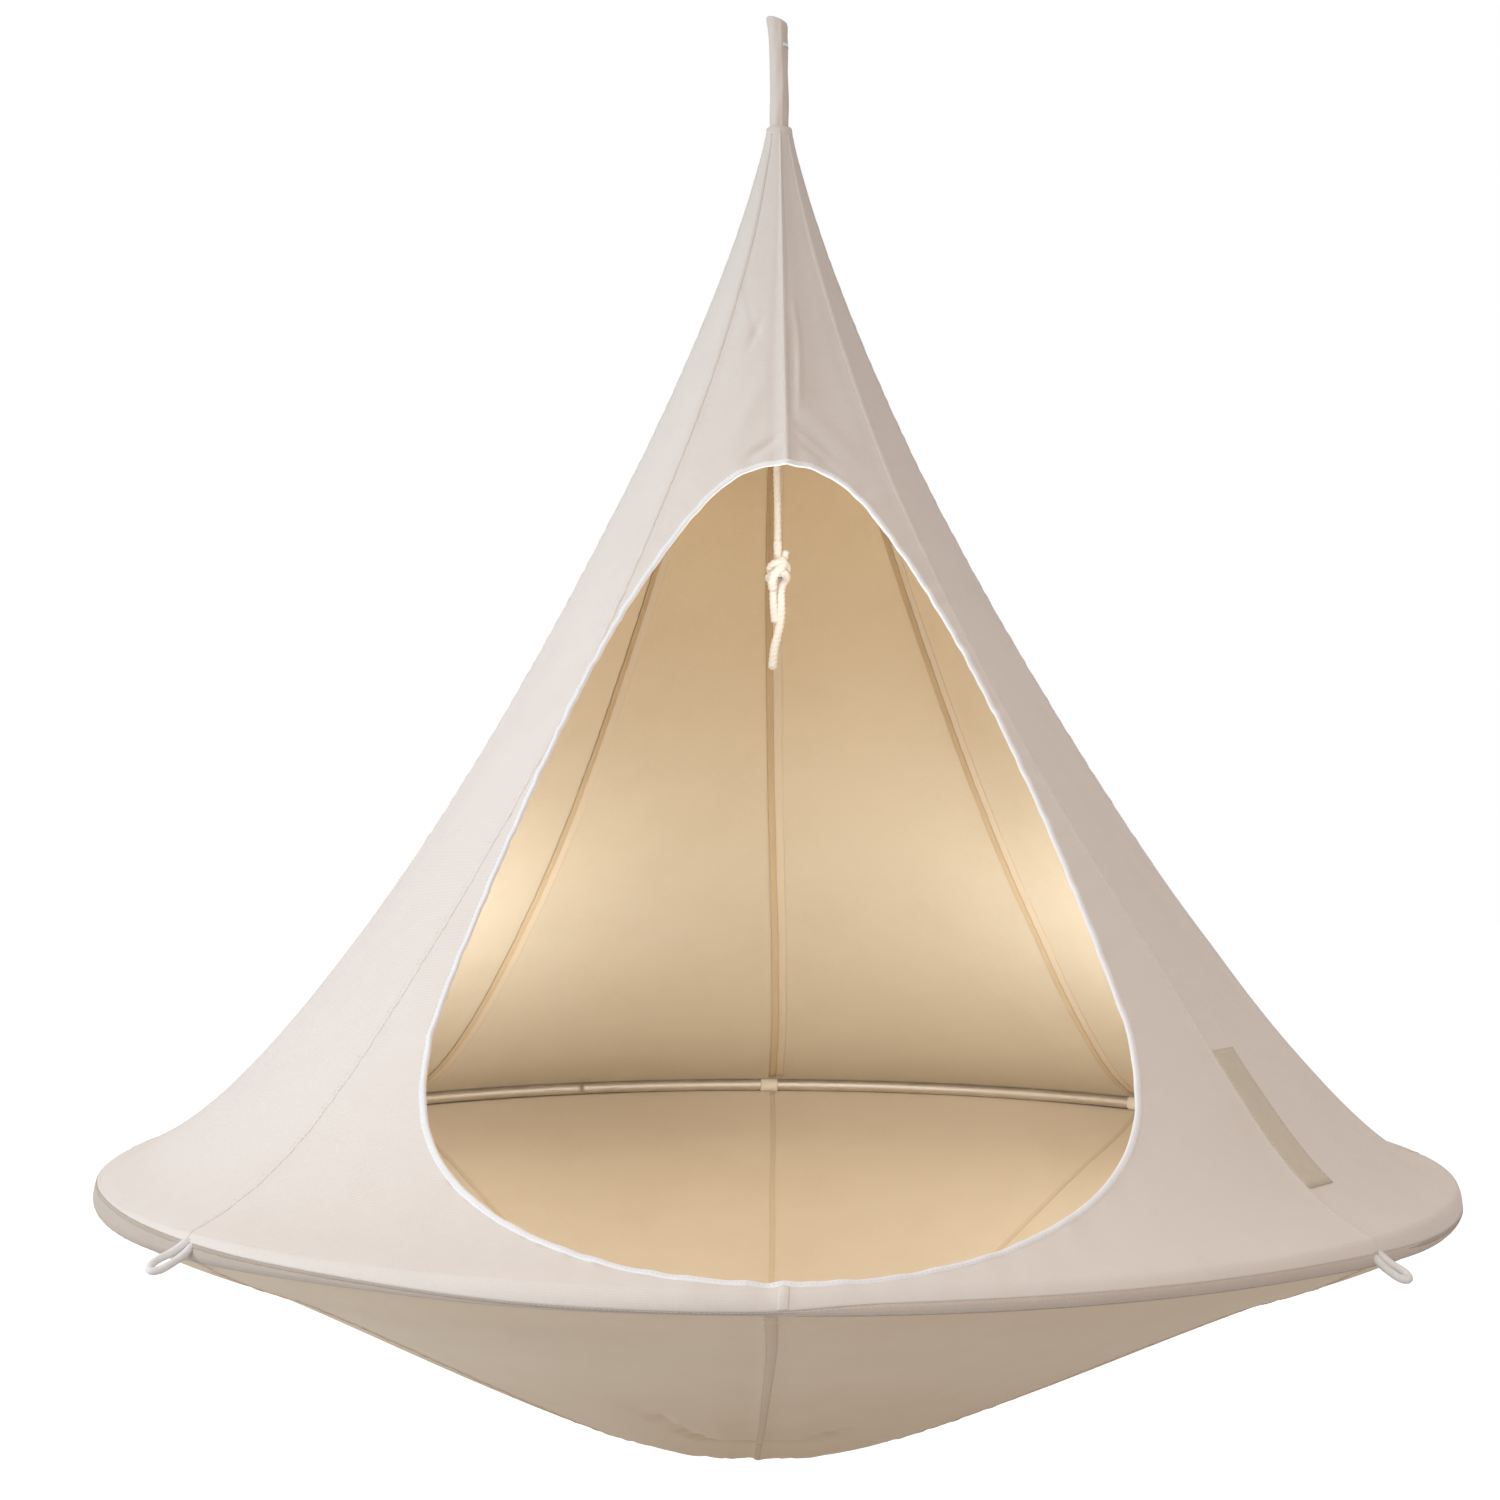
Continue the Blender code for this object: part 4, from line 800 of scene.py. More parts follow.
# The knot's strands, from its top: the wraps with their tail, the doubled strand, the short end and the core.
KNOT_WRAPS = (
    (0, 0, 0.012), (0, 0, 0.002), (0.0012, 0.002, -0.0108), (0.0002, 0.003, -0.0188), (-0.005, 0.0048, -0.0251),
    (-0.0088, 0, -0.0245), (-0.0062, -0.0072, -0.02), (0.001, -0.0098, -0.0177), (0.008, -0.0066, -0.0194),
    (0.0102, 0.0004, -0.0234), (0.007, 0.0072, -0.0274), (-0.001, 0.0092, -0.0319), (-0.0082, 0.0052, -0.0348),
    (-0.0098, -0.0022, -0.0339), (-0.005, -0.0086, -0.0311), (0.003, -0.0098, -0.0293), (0.0092, -0.005, -0.0314),
    (0.0096, 0.002, -0.0353), (0.0058, 0.0056, -0.0411), (0.004, 0.0036, -0.0496), (0.004, 0.001, -0.061),
    (0.0042, 0, -0.0747), (0.0026, 0, -0.0906), (-0.0004, 0, -0.1043), (-0.0034, 0, -0.1169), (-0.0052, 0, -0.1317),
    (-0.0062, 0, -0.1431),
)
TAIL_STRAND = (
    (-0.001, 0.002, -0.0268), (-0.0046, -0.001, -0.0382), (-0.0052, -0.0036, -0.0496), (-0.005, -0.0024, -0.0633),
    (-0.004, -0.001, -0.077), (-0.003, -0.0004, -0.0884),
)
SHORT_END = (
    (0.003, 0.004, -0.025), (0.0064, -0.001, -0.015), (0.0088, -0.004, -0.008), (0.0094, -0.005, -0.002),
)
KNOT_CORE = (
    (0.004, -0.006, -0.012), (0.0064, -0.0098, -0.019), (0.0024, -0.0126, -0.0255), (-0.0042, -0.0122, -0.0325),
    (-0.0064, -0.0092, -0.041), (-0.0048, -0.005, -0.051),
)
for name, points, radius, ends in (("knot", KNOT_WRAPS, 0.0051, 0.004), ("tail", TAIL_STRAND, 0.0046, 0.004),
                                   ("stub", SHORT_END, 0.0040, 0.003), ("core", KNOT_CORE, 0.0056, 0.004)):
    rope_piece(f"inner_rope_{name}", np.array(points) + (0.0, 0.0, KNOT_TOP_Z), radius, 0.016, ROPE,
                              step=0.0014, ends=ends, body="cord", slot="rope",
                              replaces=["inner_cord_knot"] if name == "knot" else ())

# Canopy: one sheet, cut out at the door.


def column_angles():
    """Even angles of the canopy's columns, finer in front and close to every seam."""
    close = [0.0, 0.35, 0.75, 1.25, 1.9, 2.8, 4.0, 5.6, 7.6, 9.9, 12.3, 14.8, 17.3, 19.9]
    half = close + [22.5]
    gore = half + [GORE_STEP - c for c in close[:0:-1]]
    fine = [0.0, 0.3, 0.65, 1.05] + list(np.arange(1.5, GORE_STEP - 1.4, 0.75)) + [43.95, 44.35, 44.7]
    columns = []
    for low in np.arange(-180.0, 180.0, GORE_STEP):
        columns += [low + c for c in (fine if -46.0 < low < 1.0 else gore)]
    return np.array(columns)


def clipped(columns, rows, clearance):
    """Vertices (even angle, row value) and faces of a round sheet, without the part where clearance is negative."""
    count = len(columns)
    grid = [(a, v) for v in rows for a in columns]
    value = clearance(np.array([g[0] for g in grid]), np.array([g[1] for g in grid]))
    kept, cuts, faces = {}, {}, []
    for r in range(len(rows) - 1):
        for c in range(count):
            n = (c + 1) % count
            corners = (r * count + c, r * count + n, (r + 1) * count + n, (r + 1) * count + c)
            face = []
            for k in range(4):
                a, b = corners[k], corners[(k + 1) % 4]
                if value[a] > 0.0:
                    kept.setdefault(a)
                    face.append(a)
                if (value[a] > 0.0) != (value[b] > 0.0):
                    cuts.setdefault((min(a, b), max(a, b)))
                    face.append((min(a, b), max(a, b)))
            if face:
                faces.append(face)
    places = np.array(grid)
    edges = np.array(list(cuts), int).reshape(-1, 2)
    ends = places[edges]
    first_out = (value[edges[:, 0]] <= 0.0)[:, None]
    low = np.where(first_out, ends[:, 0], ends[:, 1])
    high = np.where(first_out, ends[:, 1], ends[:, 0])
    for _ in range(30):
        middle = (low + high) / 2.0
        clear = (clearance(middle[:, 0], middle[:, 1]) > 0.0)[:, None]
        high = np.where(clear, middle, high)
        low = np.where(clear, low, middle)
    order = {key: i for i, key in enumerate([*kept, *cuts])}
    return np.concatenate([places[list(kept)], high]), [[order[key] for key in face] for face in faces]


def gore_map(coords, faces, radius, run):
    """The map in metres, laid out gore by gore with the thread along each gore's middle."""
    uvs = []
    for face in faces:
        angle = coords[face, 0]
        if angle.max() - angle.min() > 180.0:
            angle = np.where(angle < 0.0, angle + 360.0, angle)
        middle = (math.floor(angle.mean() / GORE_STEP) + 0.5) * GORE_STEP
        across = np.radians(angle - middle) * radius[face] + middle * 0.0731
        uvs += list(zip(across, run[face]))
    return uvs


def door_clearance(nominal, v):
    angle, radius, height = canopy_place(nominal, v)
    x = radius * np.sin(np.radians(angle)) + np.interp(height, *LEAN_TABLE) - np.interp(height, *DOOR_TABLE)
    width = door_half_width(height)
    inside = (width > 0.0) & (np.cos(np.radians(angle)) > 0.2)
    return np.where(inside, np.abs(x) - width, 1.0)


def thicken(obj):
    """Gives a sheet its thickness inward, with the second finish on the inside."""
    solid = obj.modifiers.new("thickness", "SOLIDIFY")
    solid.thickness = FABRIC
    solid.offset = -1.0
    solid.material_offset = 1


canopy_rows = np.concatenate([np.linspace(-1.0, 0.0, 9)[:-1], np.linspace(0.0, 1.0, 185) ** 1.12])
fine_rows = v_of(np.linspace(0.755, 0.975, 72))
canopy_rows = np.concatenate([canopy_rows[canopy_rows < fine_rows.min() - 0.002], np.sort(fine_rows),
                              canopy_rows[canopy_rows > fine_rows.max() + 0.002]])
coords, faces = clipped(column_angles(), canopy_rows, door_clearance)
points, _ = on_canopy(coords[:, 0], coords[:, 1])
radii = canopy_place(coords[:, 0], coords[:, 1])[1]
spots = np.linspace(-1.0, 1.0, 400)
meridian = run_of(stacked(*canopy_place(0.0, spots)[1:]))
run = np.interp(coords[:, 1], spots, meridian)
canopy = new_piece("canopy", points, faces, [CANVAS, INSIDE], gore_map(coords, faces, radii, run), slot="canvas",
                   replaces=[f"canopy_gore_{g}" for g in GORE_NAMES])
thicken(canopy)

floor_rows = np.concatenate([np.linspace(0.0, 0.02, 5)[:-1], np.linspace(0.02, 0.42, 36)[:-1],
                             np.linspace(0.42, 0.66, 90)[:-1], np.linspace(0.66, 1.0, 36)])
floor_columns = []
for low in np.arange(-180.0, 180.0, GORE_STEP):
    floor_columns += [low + c for c in (0.0, 0.35, 0.75, 1.25, 1.9, 2.8, 3.9, 5.2, 6.7, 8.3, 10.0, 11.7, 13.4, 15.1,
                                        16.9, 18.7, 20.6, 22.5, 24.4, 26.3, 28.1, 29.9, 31.6, 33.3, 35.0, 36.7, 38.3,
                                        39.8, 41.1, 42.2, 43.1, 43.75, 44.25, 44.65)]
coords, faces = clipped(np.array(floor_columns), floor_rows, lambda a, w: np.ones_like(a))
faces = [f[::-1] for f in faces]
points, _ = on_floor(coords[:, 0], coords[:, 1])
radii = floor_place(coords[:, 0], coords[:, 1])[1]
floor_sheet = new_piece("floor_sheet", points, faces, [FLOOR_OUT, FLOOR_IN], gore_map(coords, faces, radii, radii),
                        slot="floor_canvas", replaces=[f"floor_gore_{g}" for g in GORE_NAMES])
thicken(floor_sheet)

# Rim hem, seams, binding and straps.

HEM_BOTTOM = -68.0
HEM_THICKNESS = 0.0011
RIM_SHADE_LINE_HALF = 0.0012


def on_roll(angle, roll, size):
    """A point round the tube's roll, with its sag. roll is in radians and size is the distance from its middle."""
    return polar(angle, RING_RADIUS + size * np.cos(roll), size * np.sin(roll) - rim_sag(angle, roll))


def hem_place(angle, share, lift):
    """A point on the hem: share is 0 under the canopy's edge and 1 at its lower edge."""
    top = edge_roll(angle) + 4.0
    return on_roll(angle, np.radians(top + (HEM_BOTTOM - top) * share), ROLL_RADIUS + lift)


hem_angles = np.linspace(-180.0, 180.0, 720, endpoint=False)
hem_rows = []
for outer, share in both_faces(np.linspace(0.0, 1.0, 17)):
    lift = 0.0001
    if outer:
        lift = (HEM_THICKNESS * (0.2 + 0.8 * min(1.0, min(share, 1.0 - share) / 0.08))
                + 0.0002 * ripple(np.radians(hem_angles) * RING_RADIUS, share * 3.5))
    hem_rows.append(hem_place(hem_angles, share, lift))
loft_rows("rim_hem", hem_rows, HEM, closed=True, slot="canvas", replaces=["rim_band"])


def rim_shade_line(name, low, high, roll_of):
    """A narrow strip along a seam of the rim's cloth, darker than the hem: painted shade under the canopy's edge, and
    along the hem's lower edge in front.
    """
    angles = np.linspace(low, high, int((high - low) * 2.0) + 2)
    taper = np.clip(np.minimum(angles - low, high - angles) / 3.0, 0.15, 1.0)
    rows = []
    for outer, side in both_faces(np.linspace(1.0, -1.0, 5)):
        size = ROLL_RADIUS + (HEM_THICKNESS + 0.0004 * (1.0 - side * side) if outer else 0.0004)
        rows.append(on_roll(angles, np.radians(roll_of(angles)) + RIM_SHADE_LINE_HALF * taper * side / ROLL_RADIUS, size))
    loft_rows(name, rows, SHADE_LINE, slot="canvas")


# Painted shade lines: under the canopy's edge round most of the rim, and along the hem's lower edge from the front to
# the right.
rim_shade_line("rim_shade_line_left", -179.9, 0.5, lambda angles: edge_roll(angles) - 8.0)
rim_shade_line("rim_shade_line_right", 50.0, 179.9, lambda angles: edge_roll(angles) - 8.0)
rim_shade_line("rim_shade_line_front", 0.5, 62.0, lambda angles: HEM_BOTTOM + 7.0)

CANOPY = (canopy_place, on_canopy)
FLOOR = (floor_place, on_floor)
STRIP_SHARES = (-1.0, -0.85, -0.5, -0.2, 0.0, 0.2, 0.5, 0.85, 1.0)
SEAM_HALF_WIDTH = 0.0042
LINING_HALF_WIDTH = 0.0100
LINING_HALF_THICKNESS = 0.0003
LINING_SHIFT = -0.0065
SEAM_HALF_THICKNESS = 0.0002
SEAM_FOOT = -0.93
SEAM_HEAD = 0.992
THREAD_HEAD = 0.95
THREAD_OFFSET = 0.0029
CONE_SLANT = 1.34
STITCH_PITCH = 0.0042


def slimmed(radius):
    """Seams are narrower where the cone is slim."""
    return np.clip(radius / 0.05, 0.45, 1.0)


def strip(name, sheet, angle, along, half_width, half_thickness, lift, finish, shift=0.0, **options):
    """A strip along a seam of the canopy or the floor, on its outside or inside."""
    place, on_sheet = sheet
    radius = place(angle, along)[1]
    rows = []
    for side in (1.0, -1.0):
        for across in STRIP_SHARES[::int(side)]:
            beside = (shift + across * half_width) * slimmed(radius) / np.maximum(radius, 0.012)
            thick = half_thickness * (0.4 if abs(across) == 1.0 else 1.0)
            rows.append(on_sheet(angle + np.degrees(beside), along, lift + side * thick)[0])
    return loft_rows(name, rows, finish, **options)


def beside_seam(sheet, angle, low, high, reach, lift, count):
    """Two rows of stitches, one on each side of a seam. reach(along) is their distance from it."""
    place, on_sheet = sheet
    rows = []
    for sign in (-1.0, 1.0):

        def spot(share, sign=sign):
            along = low + (high - low) * share
            radius = place(angle, along)[1]
            return on_sheet(angle + sign * np.degrees(reach(along) * slimmed(radius) / radius), along, lift)

        rows.append(row_of(spot, count))
    return rows


def joined(rows):
    return [np.concatenate(column) for column in zip(*rows)]


def canopy_seam(name, angle, along):
    return strip(f"canopy_seam_{name}", CANOPY, angle, along, SEAM_HALF_WIDTH, SEAM_HALF_THICKNESS,
                 SEAM_HALF_THICKNESS * 0.6, CANVAS, slot="canvas")


door_top_v = v_of(DOOR_TOP)
canopy_seams, floor_seams, thread_rows, floor_thread_rows = [], [], [], []
for name, angle in SEAM_ANGLES.items():
    v = np.concatenate([np.linspace(SEAM_FOOT, 0.0, 12)[:-1], np.linspace(0.0, SEAM_HEAD, 190)])
    if name == "front":
        v = np.linspace(door_top_v + 0.0005, SEAM_HEAD, 90)
    start = max(v[0], 0.0) + 0.004
    canopy_seams.append(canopy_seam(name, angle, v))
    thread_rows += beside_seam(CANOPY, angle, start, THREAD_HEAD, lambda v: THREAD_OFFSET, SEAM_HALF_THICKNESS * 1.75,
                               int(CONE_SLANT * (THREAD_HEAD - start) / STITCH_PITCH))
canopy_seams.append(canopy_seam("front_low", 0.0, np.linspace(SEAM_FOOT, 0.0015, 14)))
for name, angle in SEAM_ANGLES.items():
    w = np.linspace(0.004, 0.82, 120)
    floor_seams.append(strip(f"floor_seam_{name}", FLOOR, angle, w, 0.0058 * (1.0 - 0.72 * w), SEAM_HALF_THICKNESS,
                             SEAM_HALF_THICKNESS * 0.4, FLOOR_SEAM, slot="floor_canvas"))
    floor_thread_rows += beside_seam(FLOOR, angle, 0.01, 0.81, lambda w: 0.0044 * (1.0 - 0.72 * w),
                                     SEAM_HALF_THICKNESS * 1.5, 165)
canopy_thread = stitches("canopy_stitches", joined(thread_rows), THREAD, "canvas")
floor_thread = stitches("floor_stitches", joined(floor_thread_rows), FLOOR_THREAD, "floor_canvas", 0.0030)


def hem_row(share):
    angle = -180.0 + 360.0 * share
    here = hem_place(angle, 0.16, HEM_THICKNESS)
    return here, unit(here - hem_place(angle, 0.16, 0.0))


stitches("hem_stitches", row_of(hem_row, 1050), THREAD, "canvas", 0.0030)

# Door tape: a swelling cord of folded tape along the door's outline.

TAPE_HALF = (0.0034, 0.0024)
TAPE_SWELL = ((0.02, 61.0, 0.0), (0.02, 37.0, 1.0), (0.03, 23.0, 0.0))
tape_path, tape_normal = on_canopy(nominal_at(OUTLINE_X, OUTLINE_H), v_of(OUTLINE_H), -FABRIC / 2.0)
tape_forward = tangents(tape_path, True)
tape_side = unit(np.cross(tape_forward, tape_normal))
tape_normal = unit(np.cross(tape_side, tape_forward))
waves = round_section(16)
squarer = np.sign(waves) * np.abs(waves) ** 0.8
loop_share = circle(len(OUTLINE_X))
swell = 1.0 + sum(size * np.sin(loop_share * turns + phase)
                  for size, turns, phase in TAPE_SWELL)
sections = squarer[None] * np.array(TAPE_HALF)[None, None] * swell[:, None, None]
door_tape = sweep("door_tape", tape_path, tape_side, tape_normal, sections, TAPE, closed=True, slot="binding",
                  replaces=["door_binding"])


def tape_row(share):
    at = (share % 1.0) * len(OUTLINE_X)
    steps = np.arange(len(OUTLINE_X) + 1)

    def taken(values):
        return interpolated(at, steps, np.concatenate([values, values[:1]]))

    up = unit(taken(tape_normal))
    grown = np.interp(at, steps, np.append(swell, swell[0]))[:, None]
    return taken(tape_path) - unit(taken(tape_side)) * 0.0016 * grown + up * 0.00252 * grown, up


stitches("tape_stitches", row_of(tape_row, int(OUTLINE_LENGTH / STITCH_PITCH)), THREAD, "binding", 0.0026, 0.00055)

# Inside: load webbing and the seams' linings.

for name, angle in SEAM_ANGLES.items():
    low = door_top_v + 0.006 if name == "front" else 0.006
    v = np.linspace(low, v_of(HANG_HEIGHT - 0.1600), 150 if low < 0.1 else 70)
    strip(f"load_webbing_{name}", CANOPY, angle, v, STRAP_WIDTH / 2.4, STRAP_THICKNESS / 2.0,
          -(FABRIC + LINING_GAP + STRAP_THICKNESS / 2.0), STRAP, slot="webbing", replaces=[f"load_strap_{name}"])
    strip(f"inner_seam_{name}", CANOPY, angle, v, LINING_HALF_WIDTH, LINING_HALF_THICKNESS,
          -(FABRIC + LINING_HALF_THICKNESS), INNER_SEAM, shift=LINING_SHIFT, slot="canvas")
for name, angle in SEAM_ANGLES.items():
    strip(f"inner_floor_seam_{name}", FLOOR, angle, np.linspace(0.012, 0.93, 110), 0.0036, 0.0004,
          -(FABRIC + 0.0004), FLOOR_TAPE, slot="floor_canvas")

# Bottom patch, under the axis at the floor's lean.

PATCH_X = LEAN[0][1]
PATCH_SEAM_RADIUS = 0.0665
underside = floor_height(0.0) - HANG_HEIGHT
patch_low = underside - DISC_THICKNESS
profile = [(0.004, patch_low), (0.02, patch_low), (0.05, patch_low), (0.066, patch_low), (0.0700, patch_low + 0.0002),
           (0.0722, patch_low + 0.0008), (0.0725, patch_low + 0.0014), (0.0722, underside - 0.0001),
           (0.004, underside - 0.0001)]
rings = [[(r * math.sin(a) + PATCH_X, -r * math.cos(a), z) for a in circle(96)] for r, z in profile]
bottom_patch = loft("bottom_patch", rings, FLOOR_OUT, slot="floor_canvas", replaces=["bottom_disc"])


def patch_row(share):
    here = polar(360.0 * share, PATCH_SEAM_RADIUS, 0.0) + (PATCH_X, 0.0, HANG_HEIGHT + patch_low - 0.0001)
    return here, np.tile([0.0, 0.0, -1.0], (len(share), 1))


stitches("patch_stitches", row_of(patch_row, 110), BROWN_THREAD, "floor_canvas")

# Ring: four smooth tubes and the cloth tabs that hold them.

SECTION_STARTS = {"right": 22.5, "rear": 112.5, "left": 202.5, "front": 292.5}
TUBE_STEPS = 120
TUBE_END_STEP = 0.0001
TUBE_END_GAP = 0.00005
gap = math.degrees(TUBE_END_GAP / RING_RADIUS)
for name, start in SECTION_STARTS.items():
    angles = np.linspace(start + gap, start + 90.0 - gap, TUBE_STEPS)
    path = polar(angles, RING_RADIUS, 0.0)
    up = np.tile([0.0, 0.0, 1.0], (TUBE_STEPS, 1))
    size = np.full(TUBE_STEPS, TUBE_RADIUS)
    size[[0, -1]] -= TUBE_END_STEP
    sections = size[:, None, None] * round_section(24)[None]
    sweep(f"ring_section_{name}", path, unit(np.cross(tangents(path), up)), up, sections, ALUMINIUM,
          slot="aluminium", replaces=[f"ring_tube_{name}"])

TAB_HALF = math.degrees(0.013 / RING_RADIUS)
for name, angle in SEAM_ANGLES.items():
    across = np.linspace(angle - TAB_HALF, angle + TAB_HALF, 9)
    rows = []
    for outer, roll in both_faces(np.radians(np.linspace(78.0, 290.0, 22))):
        size = TUBE_RADIUS + (0.0015 if outer else 0.00025)
        rows.append(polar(across, RING_RADIUS + size * math.cos(roll), size * math.sin(roll)))
    loft_rows(f"ring_loop_{name}", rows, TAB, slot="webbing", replaces=[f"ring_tab_{name}"])

# Label: bare, on the front right seam.

LABEL_LOW = 0.044
LABEL_HIGH = 0.161
LABEL_MARGIN = 0.002
LABEL_WIDTH = 0.050
LABEL_THICKNESS = 0.0012


def on_label(share, height, lift):
    """Point and normal over the label: share is across it from the seam."""
    v = v_of(height)
    angle = SEAM_ANGLES["front_right"]
    radius = canopy_place(angle, v)[1]
    return on_canopy(angle + np.degrees((LABEL_MARGIN + LABEL_WIDTH * share) / radius), v, lift)


def label_row(share):
    """Round the label, a little inside its edge."""
    sides = (0.0, 0.15, 0.5, 0.65, 1.0)
    across = np.interp(share % 1.0, sides, (0.05, 0.95, 0.95, 0.05, 0.05))
    tall = np.interp(share % 1.0, sides, (0.04, 0.04, 0.96, 0.96, 0.04))
    return on_label(across, LABEL_LOW + (LABEL_HIGH - LABEL_LOW) * tall, LABEL_THICKNESS + 0.0001)


rows = []
for outer, share in both_faces(np.linspace(0.0, 1.0, 14)):
    edge = 0.7 if min(share, 1.0 - share) < 0.05 else 1.0
    rows.append(on_label(share, np.linspace(LABEL_LOW, LABEL_HIGH, 26), LABEL_THICKNESS * edge if outer else 0.0001)[0])
loft_rows("woven_label_bare", rows, LABEL, slot="label", replaces=["bare_label"])
stitches("label_stitches", row_of(label_row, 84), THREAD, "label")

# Neck: the cloth sleeve, with its slanted and turned mouth, and the sling.

SLEEVE_FOOT_Z = -0.1236
SLEEVE_RADIUS = 0.0112
SLEEVE_BORE = 0.0104
SLEEVE_LEAN = 0.0030
MOUTH_LOW_Z = 0.0064
MOUTH_SLANT = 0.010
sleeve_turn = circle(72)
lip = MOUTH_LOW_Z + MOUTH_SLANT * (1.0 - np.cos(sleeve_turn)) / 2.0
rows = []
for outer, share in [(True, s) for s in np.linspace(0.0, 1.0, 60)] + [(False, s) for s in np.linspace(1.0, 0.0, 24)]:
    radius = (SLEEVE_RADIUS if outer else SLEEVE_BORE) + 0.0012 * share ** 12 - 0.0004 * (1.0 - share) ** 6
    if outer:
        radius = (radius + 0.00035 * np.sin(2.0 * sleeve_turn + 9.0 * share)
                  + 0.00025 * np.sin(5.0 * sleeve_turn - 14.0 * share)
                  + 0.0007 * bell((sleeve_turn - math.radians(290.0)) / 0.16)
                  + 0.0005 / (1.0 + math.exp(-(share - 0.93) * 160.0))
                  - 0.0006 * max(0.0, (share - 0.99) / 0.01) ** 2)
    rows.append(stacked(radius * np.cos(sleeve_turn) - SLEEVE_LEAN * share ** 3, radius * np.sin(sleeve_turn),
                        SLEEVE_FOOT_Z + (lip - SLEEVE_FOOT_Z) * share))
loft_rows("neck_sleeve_cloth", rows, NECK, closed=True, body="neck", slot="canvas", replaces=["neck_sleeve"])

SLING_HALF = 0.007
bend = np.linspace(0.0, math.pi, 9)
across = SLING_HALF * np.cos(bend)
sling = [*zip(across, -0.0373 + SLING_HALF * np.sin(bend)), *((-SLING_HALF, z) for z in np.linspace(-0.05, -0.10, 5)),
         *zip(-across, -0.11275 - SLING_HALF * np.sin(bend)), *((SLING_HALF, z) for z in np.linspace(-0.10, -0.05, 5))]
rope_piece("sling_rope", [(x, 0.0, z) for x, z in sling], 0.0030, 0.012, ROPE, closed=True, body="neck", slot="rope",
           replaces=["hang_sling"])

# Gathered strap ends under the collar.

rows = []
gather_turn = circle(96)
for z, size in ((-0.1484, 0.55), (-0.1486, 0.78), (-0.1500, 0.95), (-0.1530, 1.0), (-0.1570, 0.93), (-0.1610, 0.90),
                (-0.1650, 0.93), (-0.1700, 1.0), (-0.1725, 0.94), (-0.1735, 0.78), (-0.1737, 0.55)):
    radius = size * (0.0165 + 0.0016 * np.cos(8.0 * gather_turn) ** 3 + 0.0005 * np.sin(19.0 * gather_turn))
    rows.append(stacked(radius * np.sin(gather_turn), -radius * np.cos(gather_turn), z))
loft("gathered_webbing", np.array(rows), STRAP, slot="webbing", replaces=["strap_gather"])

# Tie loops: open cord loops, both ends sewn into the seam.

LOOP_RADIUS = 0.0036
LOOP_DROOP = math.radians(22.0)
LOOP_PIVOT = (0.53567, -1.340051)
LOOP_SHAPE = (
    (-0.0105, 0.0036, 0.0035), (-0.0072, 0.0042, 0.0044), (-0.003, 0.0048, 0.0036), (0.003, 0.0052, 0.002),
    (0.01, 0.0056, 0.001), (0.0165, 0.0062, 0.0006), (0.023, 0.006, 0), (0.0275, 0.0044, -0.0004),
    (0.03, 0.0022, -0.0006), (0.0306, 0, -0.0006),
)
LOOP_CORNERS = {"front_left": (-1, -1, 1.08, 0.003, 0.0, 0.44, 0.86),
                "front_right": (1, -1, 0.86, 0.009, 0.008, 0.26, 0.84),
                "rear_right": (1, 1, 0.95, 0.005, 0.002, 0.3, 0.8), "rear_left": (-1, 1, 1.0, 0.004, 0.0, 0.2, 0.9)}
for name, (sx, sy, share_out, root_drop, tip_drop, twist, narrowing) in LOOP_CORNERS.items():
    pivot = np.array([LOOP_PIVOT[0] * sx, LOOP_PIVOT[0] * sy, LOOP_PIVOT[1]])
    level = np.array([sx, sy, 0.0]) / math.sqrt(2.0)
    out = level * math.cos(LOOP_DROOP) - (0.0, 0.0, math.sin(LOOP_DROOP))
    up = level * math.sin(LOOP_DROOP) + (0.0, 0.0, math.cos(LOOP_DROOP))
    across = np.array([-sy, sx, 0.0]) / math.sqrt(2.0)
    path = []
    for d, s, u in LOOP_SHAPE + tuple((d, -s, u) for d, s, u in LOOP_SHAPE[-2::-1]):
        drop = twist * s * sx * sy + root_drop + (tip_drop - root_drop) * np.clip(d / 0.03, 0.0, 1.0)
        path.append(pivot + out * d * (share_out if d > 0.0 else 1.0) + across * s * narrowing + up * (u - drop))
    piece = rope_piece(f"tie_cord_{name}", path, LOOP_RADIUS, 0.007, LOOP, start=(0.0, 0.0, 1.0), step=0.0009,
                       strands=4, depth=0.10, body=None, slot="loop_cord", replaces=[f"tie_loop_{name}"])
    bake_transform(piece)

# Carried-over metal.

for name in ("swivel_eye", "swivel_nut", "swivel_bow", "crown_link", "crown_eye"):
    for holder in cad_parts[name].material_slots:
        holder.material = STEEL
for name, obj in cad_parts.items():
    if name.startswith("ring_spigot"):
        for holder in obj.material_slots:
            holder.material = ALUMINIUM

# Stage and light.

STAGE_Z = -2.25
AMBIENT = 0.61
AMBIENT_TINT = (1.0, 0.88, 0.81, 1.0)


def in_sight(tree):
    """1 for what the camera sees straight, mirrored or through, and 0 for the light on other things."""
    rays = node(tree, "ShaderNodeLightPath").outputs
    seen = maths(tree, "MAXIMUM", rays["Is Camera Ray"], rays["Is Glossy Ray"])
    return maths(tree, "MAXIMUM", seen, rays["Is Transmission Ray"])


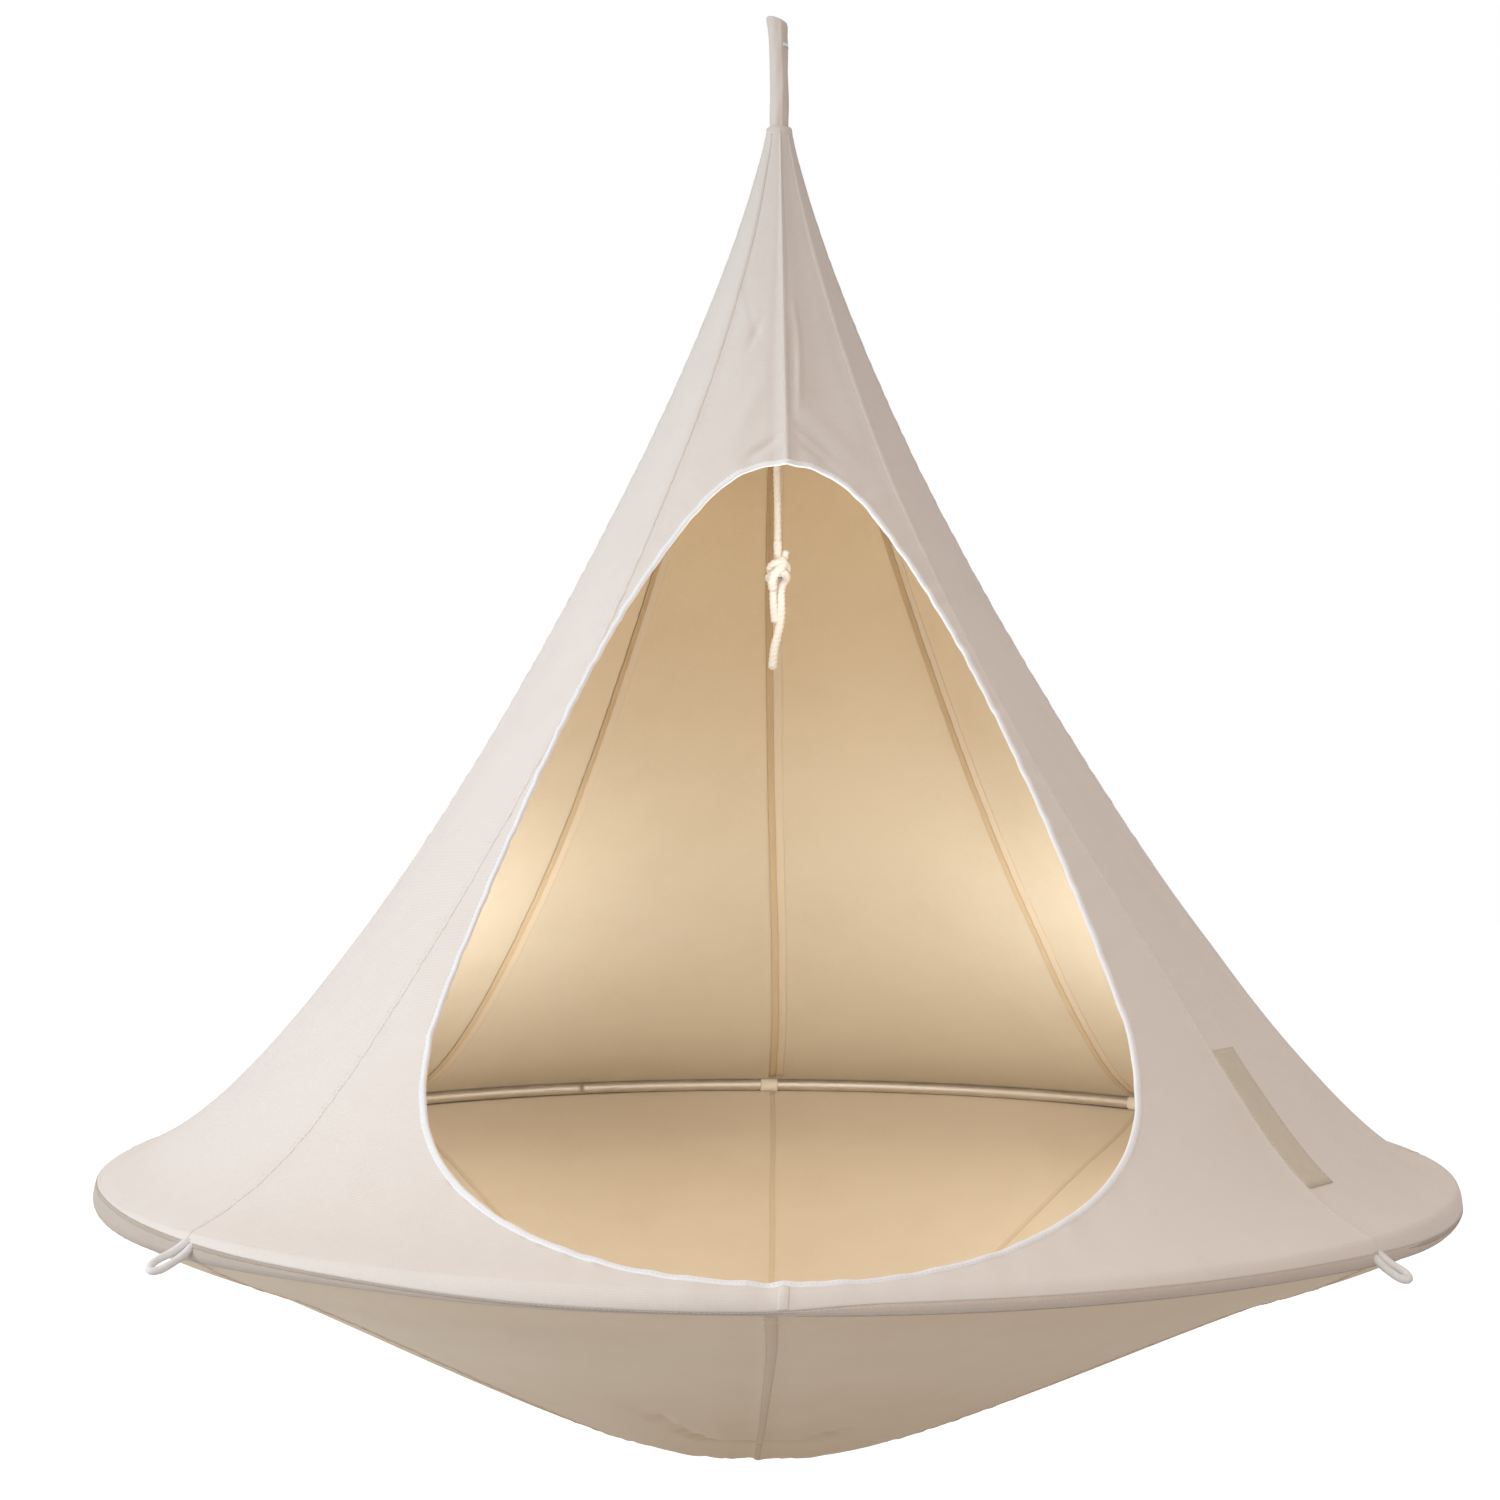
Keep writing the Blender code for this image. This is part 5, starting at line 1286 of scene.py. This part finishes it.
stage_mesh = bpy.data.meshes.new("stage_floor")
stage_mesh.from_pydata([(40.0 * math.cos(a), 40.0 * math.sin(a), STAGE_Z) for a in circle(64)], [], [list(range(64))])
stage_floor = bpy.data.objects.new("stage_floor", stage_mesh)
bpy.context.collection.objects.link(stage_floor)
stage_white, tree, shader = start_material("stage_white")
feed(tree, shader, Base_Color=(0.55, 0.55, 0.55, 1.0), Roughness=0.9, Emission_Color=(1.0, 1.0, 1.0, 1.0),
     Emission_Strength=maths(tree, "MULTIPLY", in_sight(tree), 0.80))
stage_mesh.materials.append(stage_white)

world = bpy.data.worlds.new("studio")
world.use_nodes = True
bpy.context.scene.world = world
tree = world.node_tree
seen = in_sight(tree)
feed(tree, tree.nodes["Background"], Color=blend_colour(tree, seen, AMBIENT_TINT, (1.0, 1.0, 1.0, 1.0)),
     Strength=maths(tree, "ADD", maths(tree, "MULTIPLY", seen, 1.0 - AMBIENT), AMBIENT))


def lamp(name, place, target, size, power, tint):
    data = bpy.data.lights.new(name, "AREA")
    data.shape = "DISK"
    data.size = size
    data.energy = power
    data.color = tint
    obj = bpy.data.objects.new(name, data)
    bpy.context.collection.objects.link(obj)
    obj.location = place
    obj.rotation_euler = (Vector(target) - Vector(place)).to_track_quat("-Z", "Y").to_euler()
    return obj


lamp("key_lamp", (-4.6, -2.0, -0.2), (0.0, 0.0, -0.9), 2.6, 94.0, (0.70, 0.87, 1.0))
lamp("high_lamp", (-3.4, -2.2, 2.6), (0.0, 0.0, -0.9), 2.6, 25.0, (0.80, 0.92, 1.0))
lamp("front_lamp", (-1.2, -6.2, 2.2), (0.0, 0.0, -0.95), 2.0, 66.0, (1.0, 0.96, 0.91))
for name, place, power in (("inner_left", (-0.27, 0.13, -1.19), 2.6), ("inner_right", (0.27, 0.13, -1.19), 2.45),
                           ("inner_high", (0.0, -0.14, -0.65), 0.95)):
    inner = lamp(name, place, (0.0, 0.0, -0.9), 0.2, power, (0.98, 0.97, 0.95))
    inner.data.type = "POINT"
    inner.data.shadow_soft_size = 0.12
    inner.visible_camera = False

bpy.context.scene.view_settings.view_transform = "Standard"
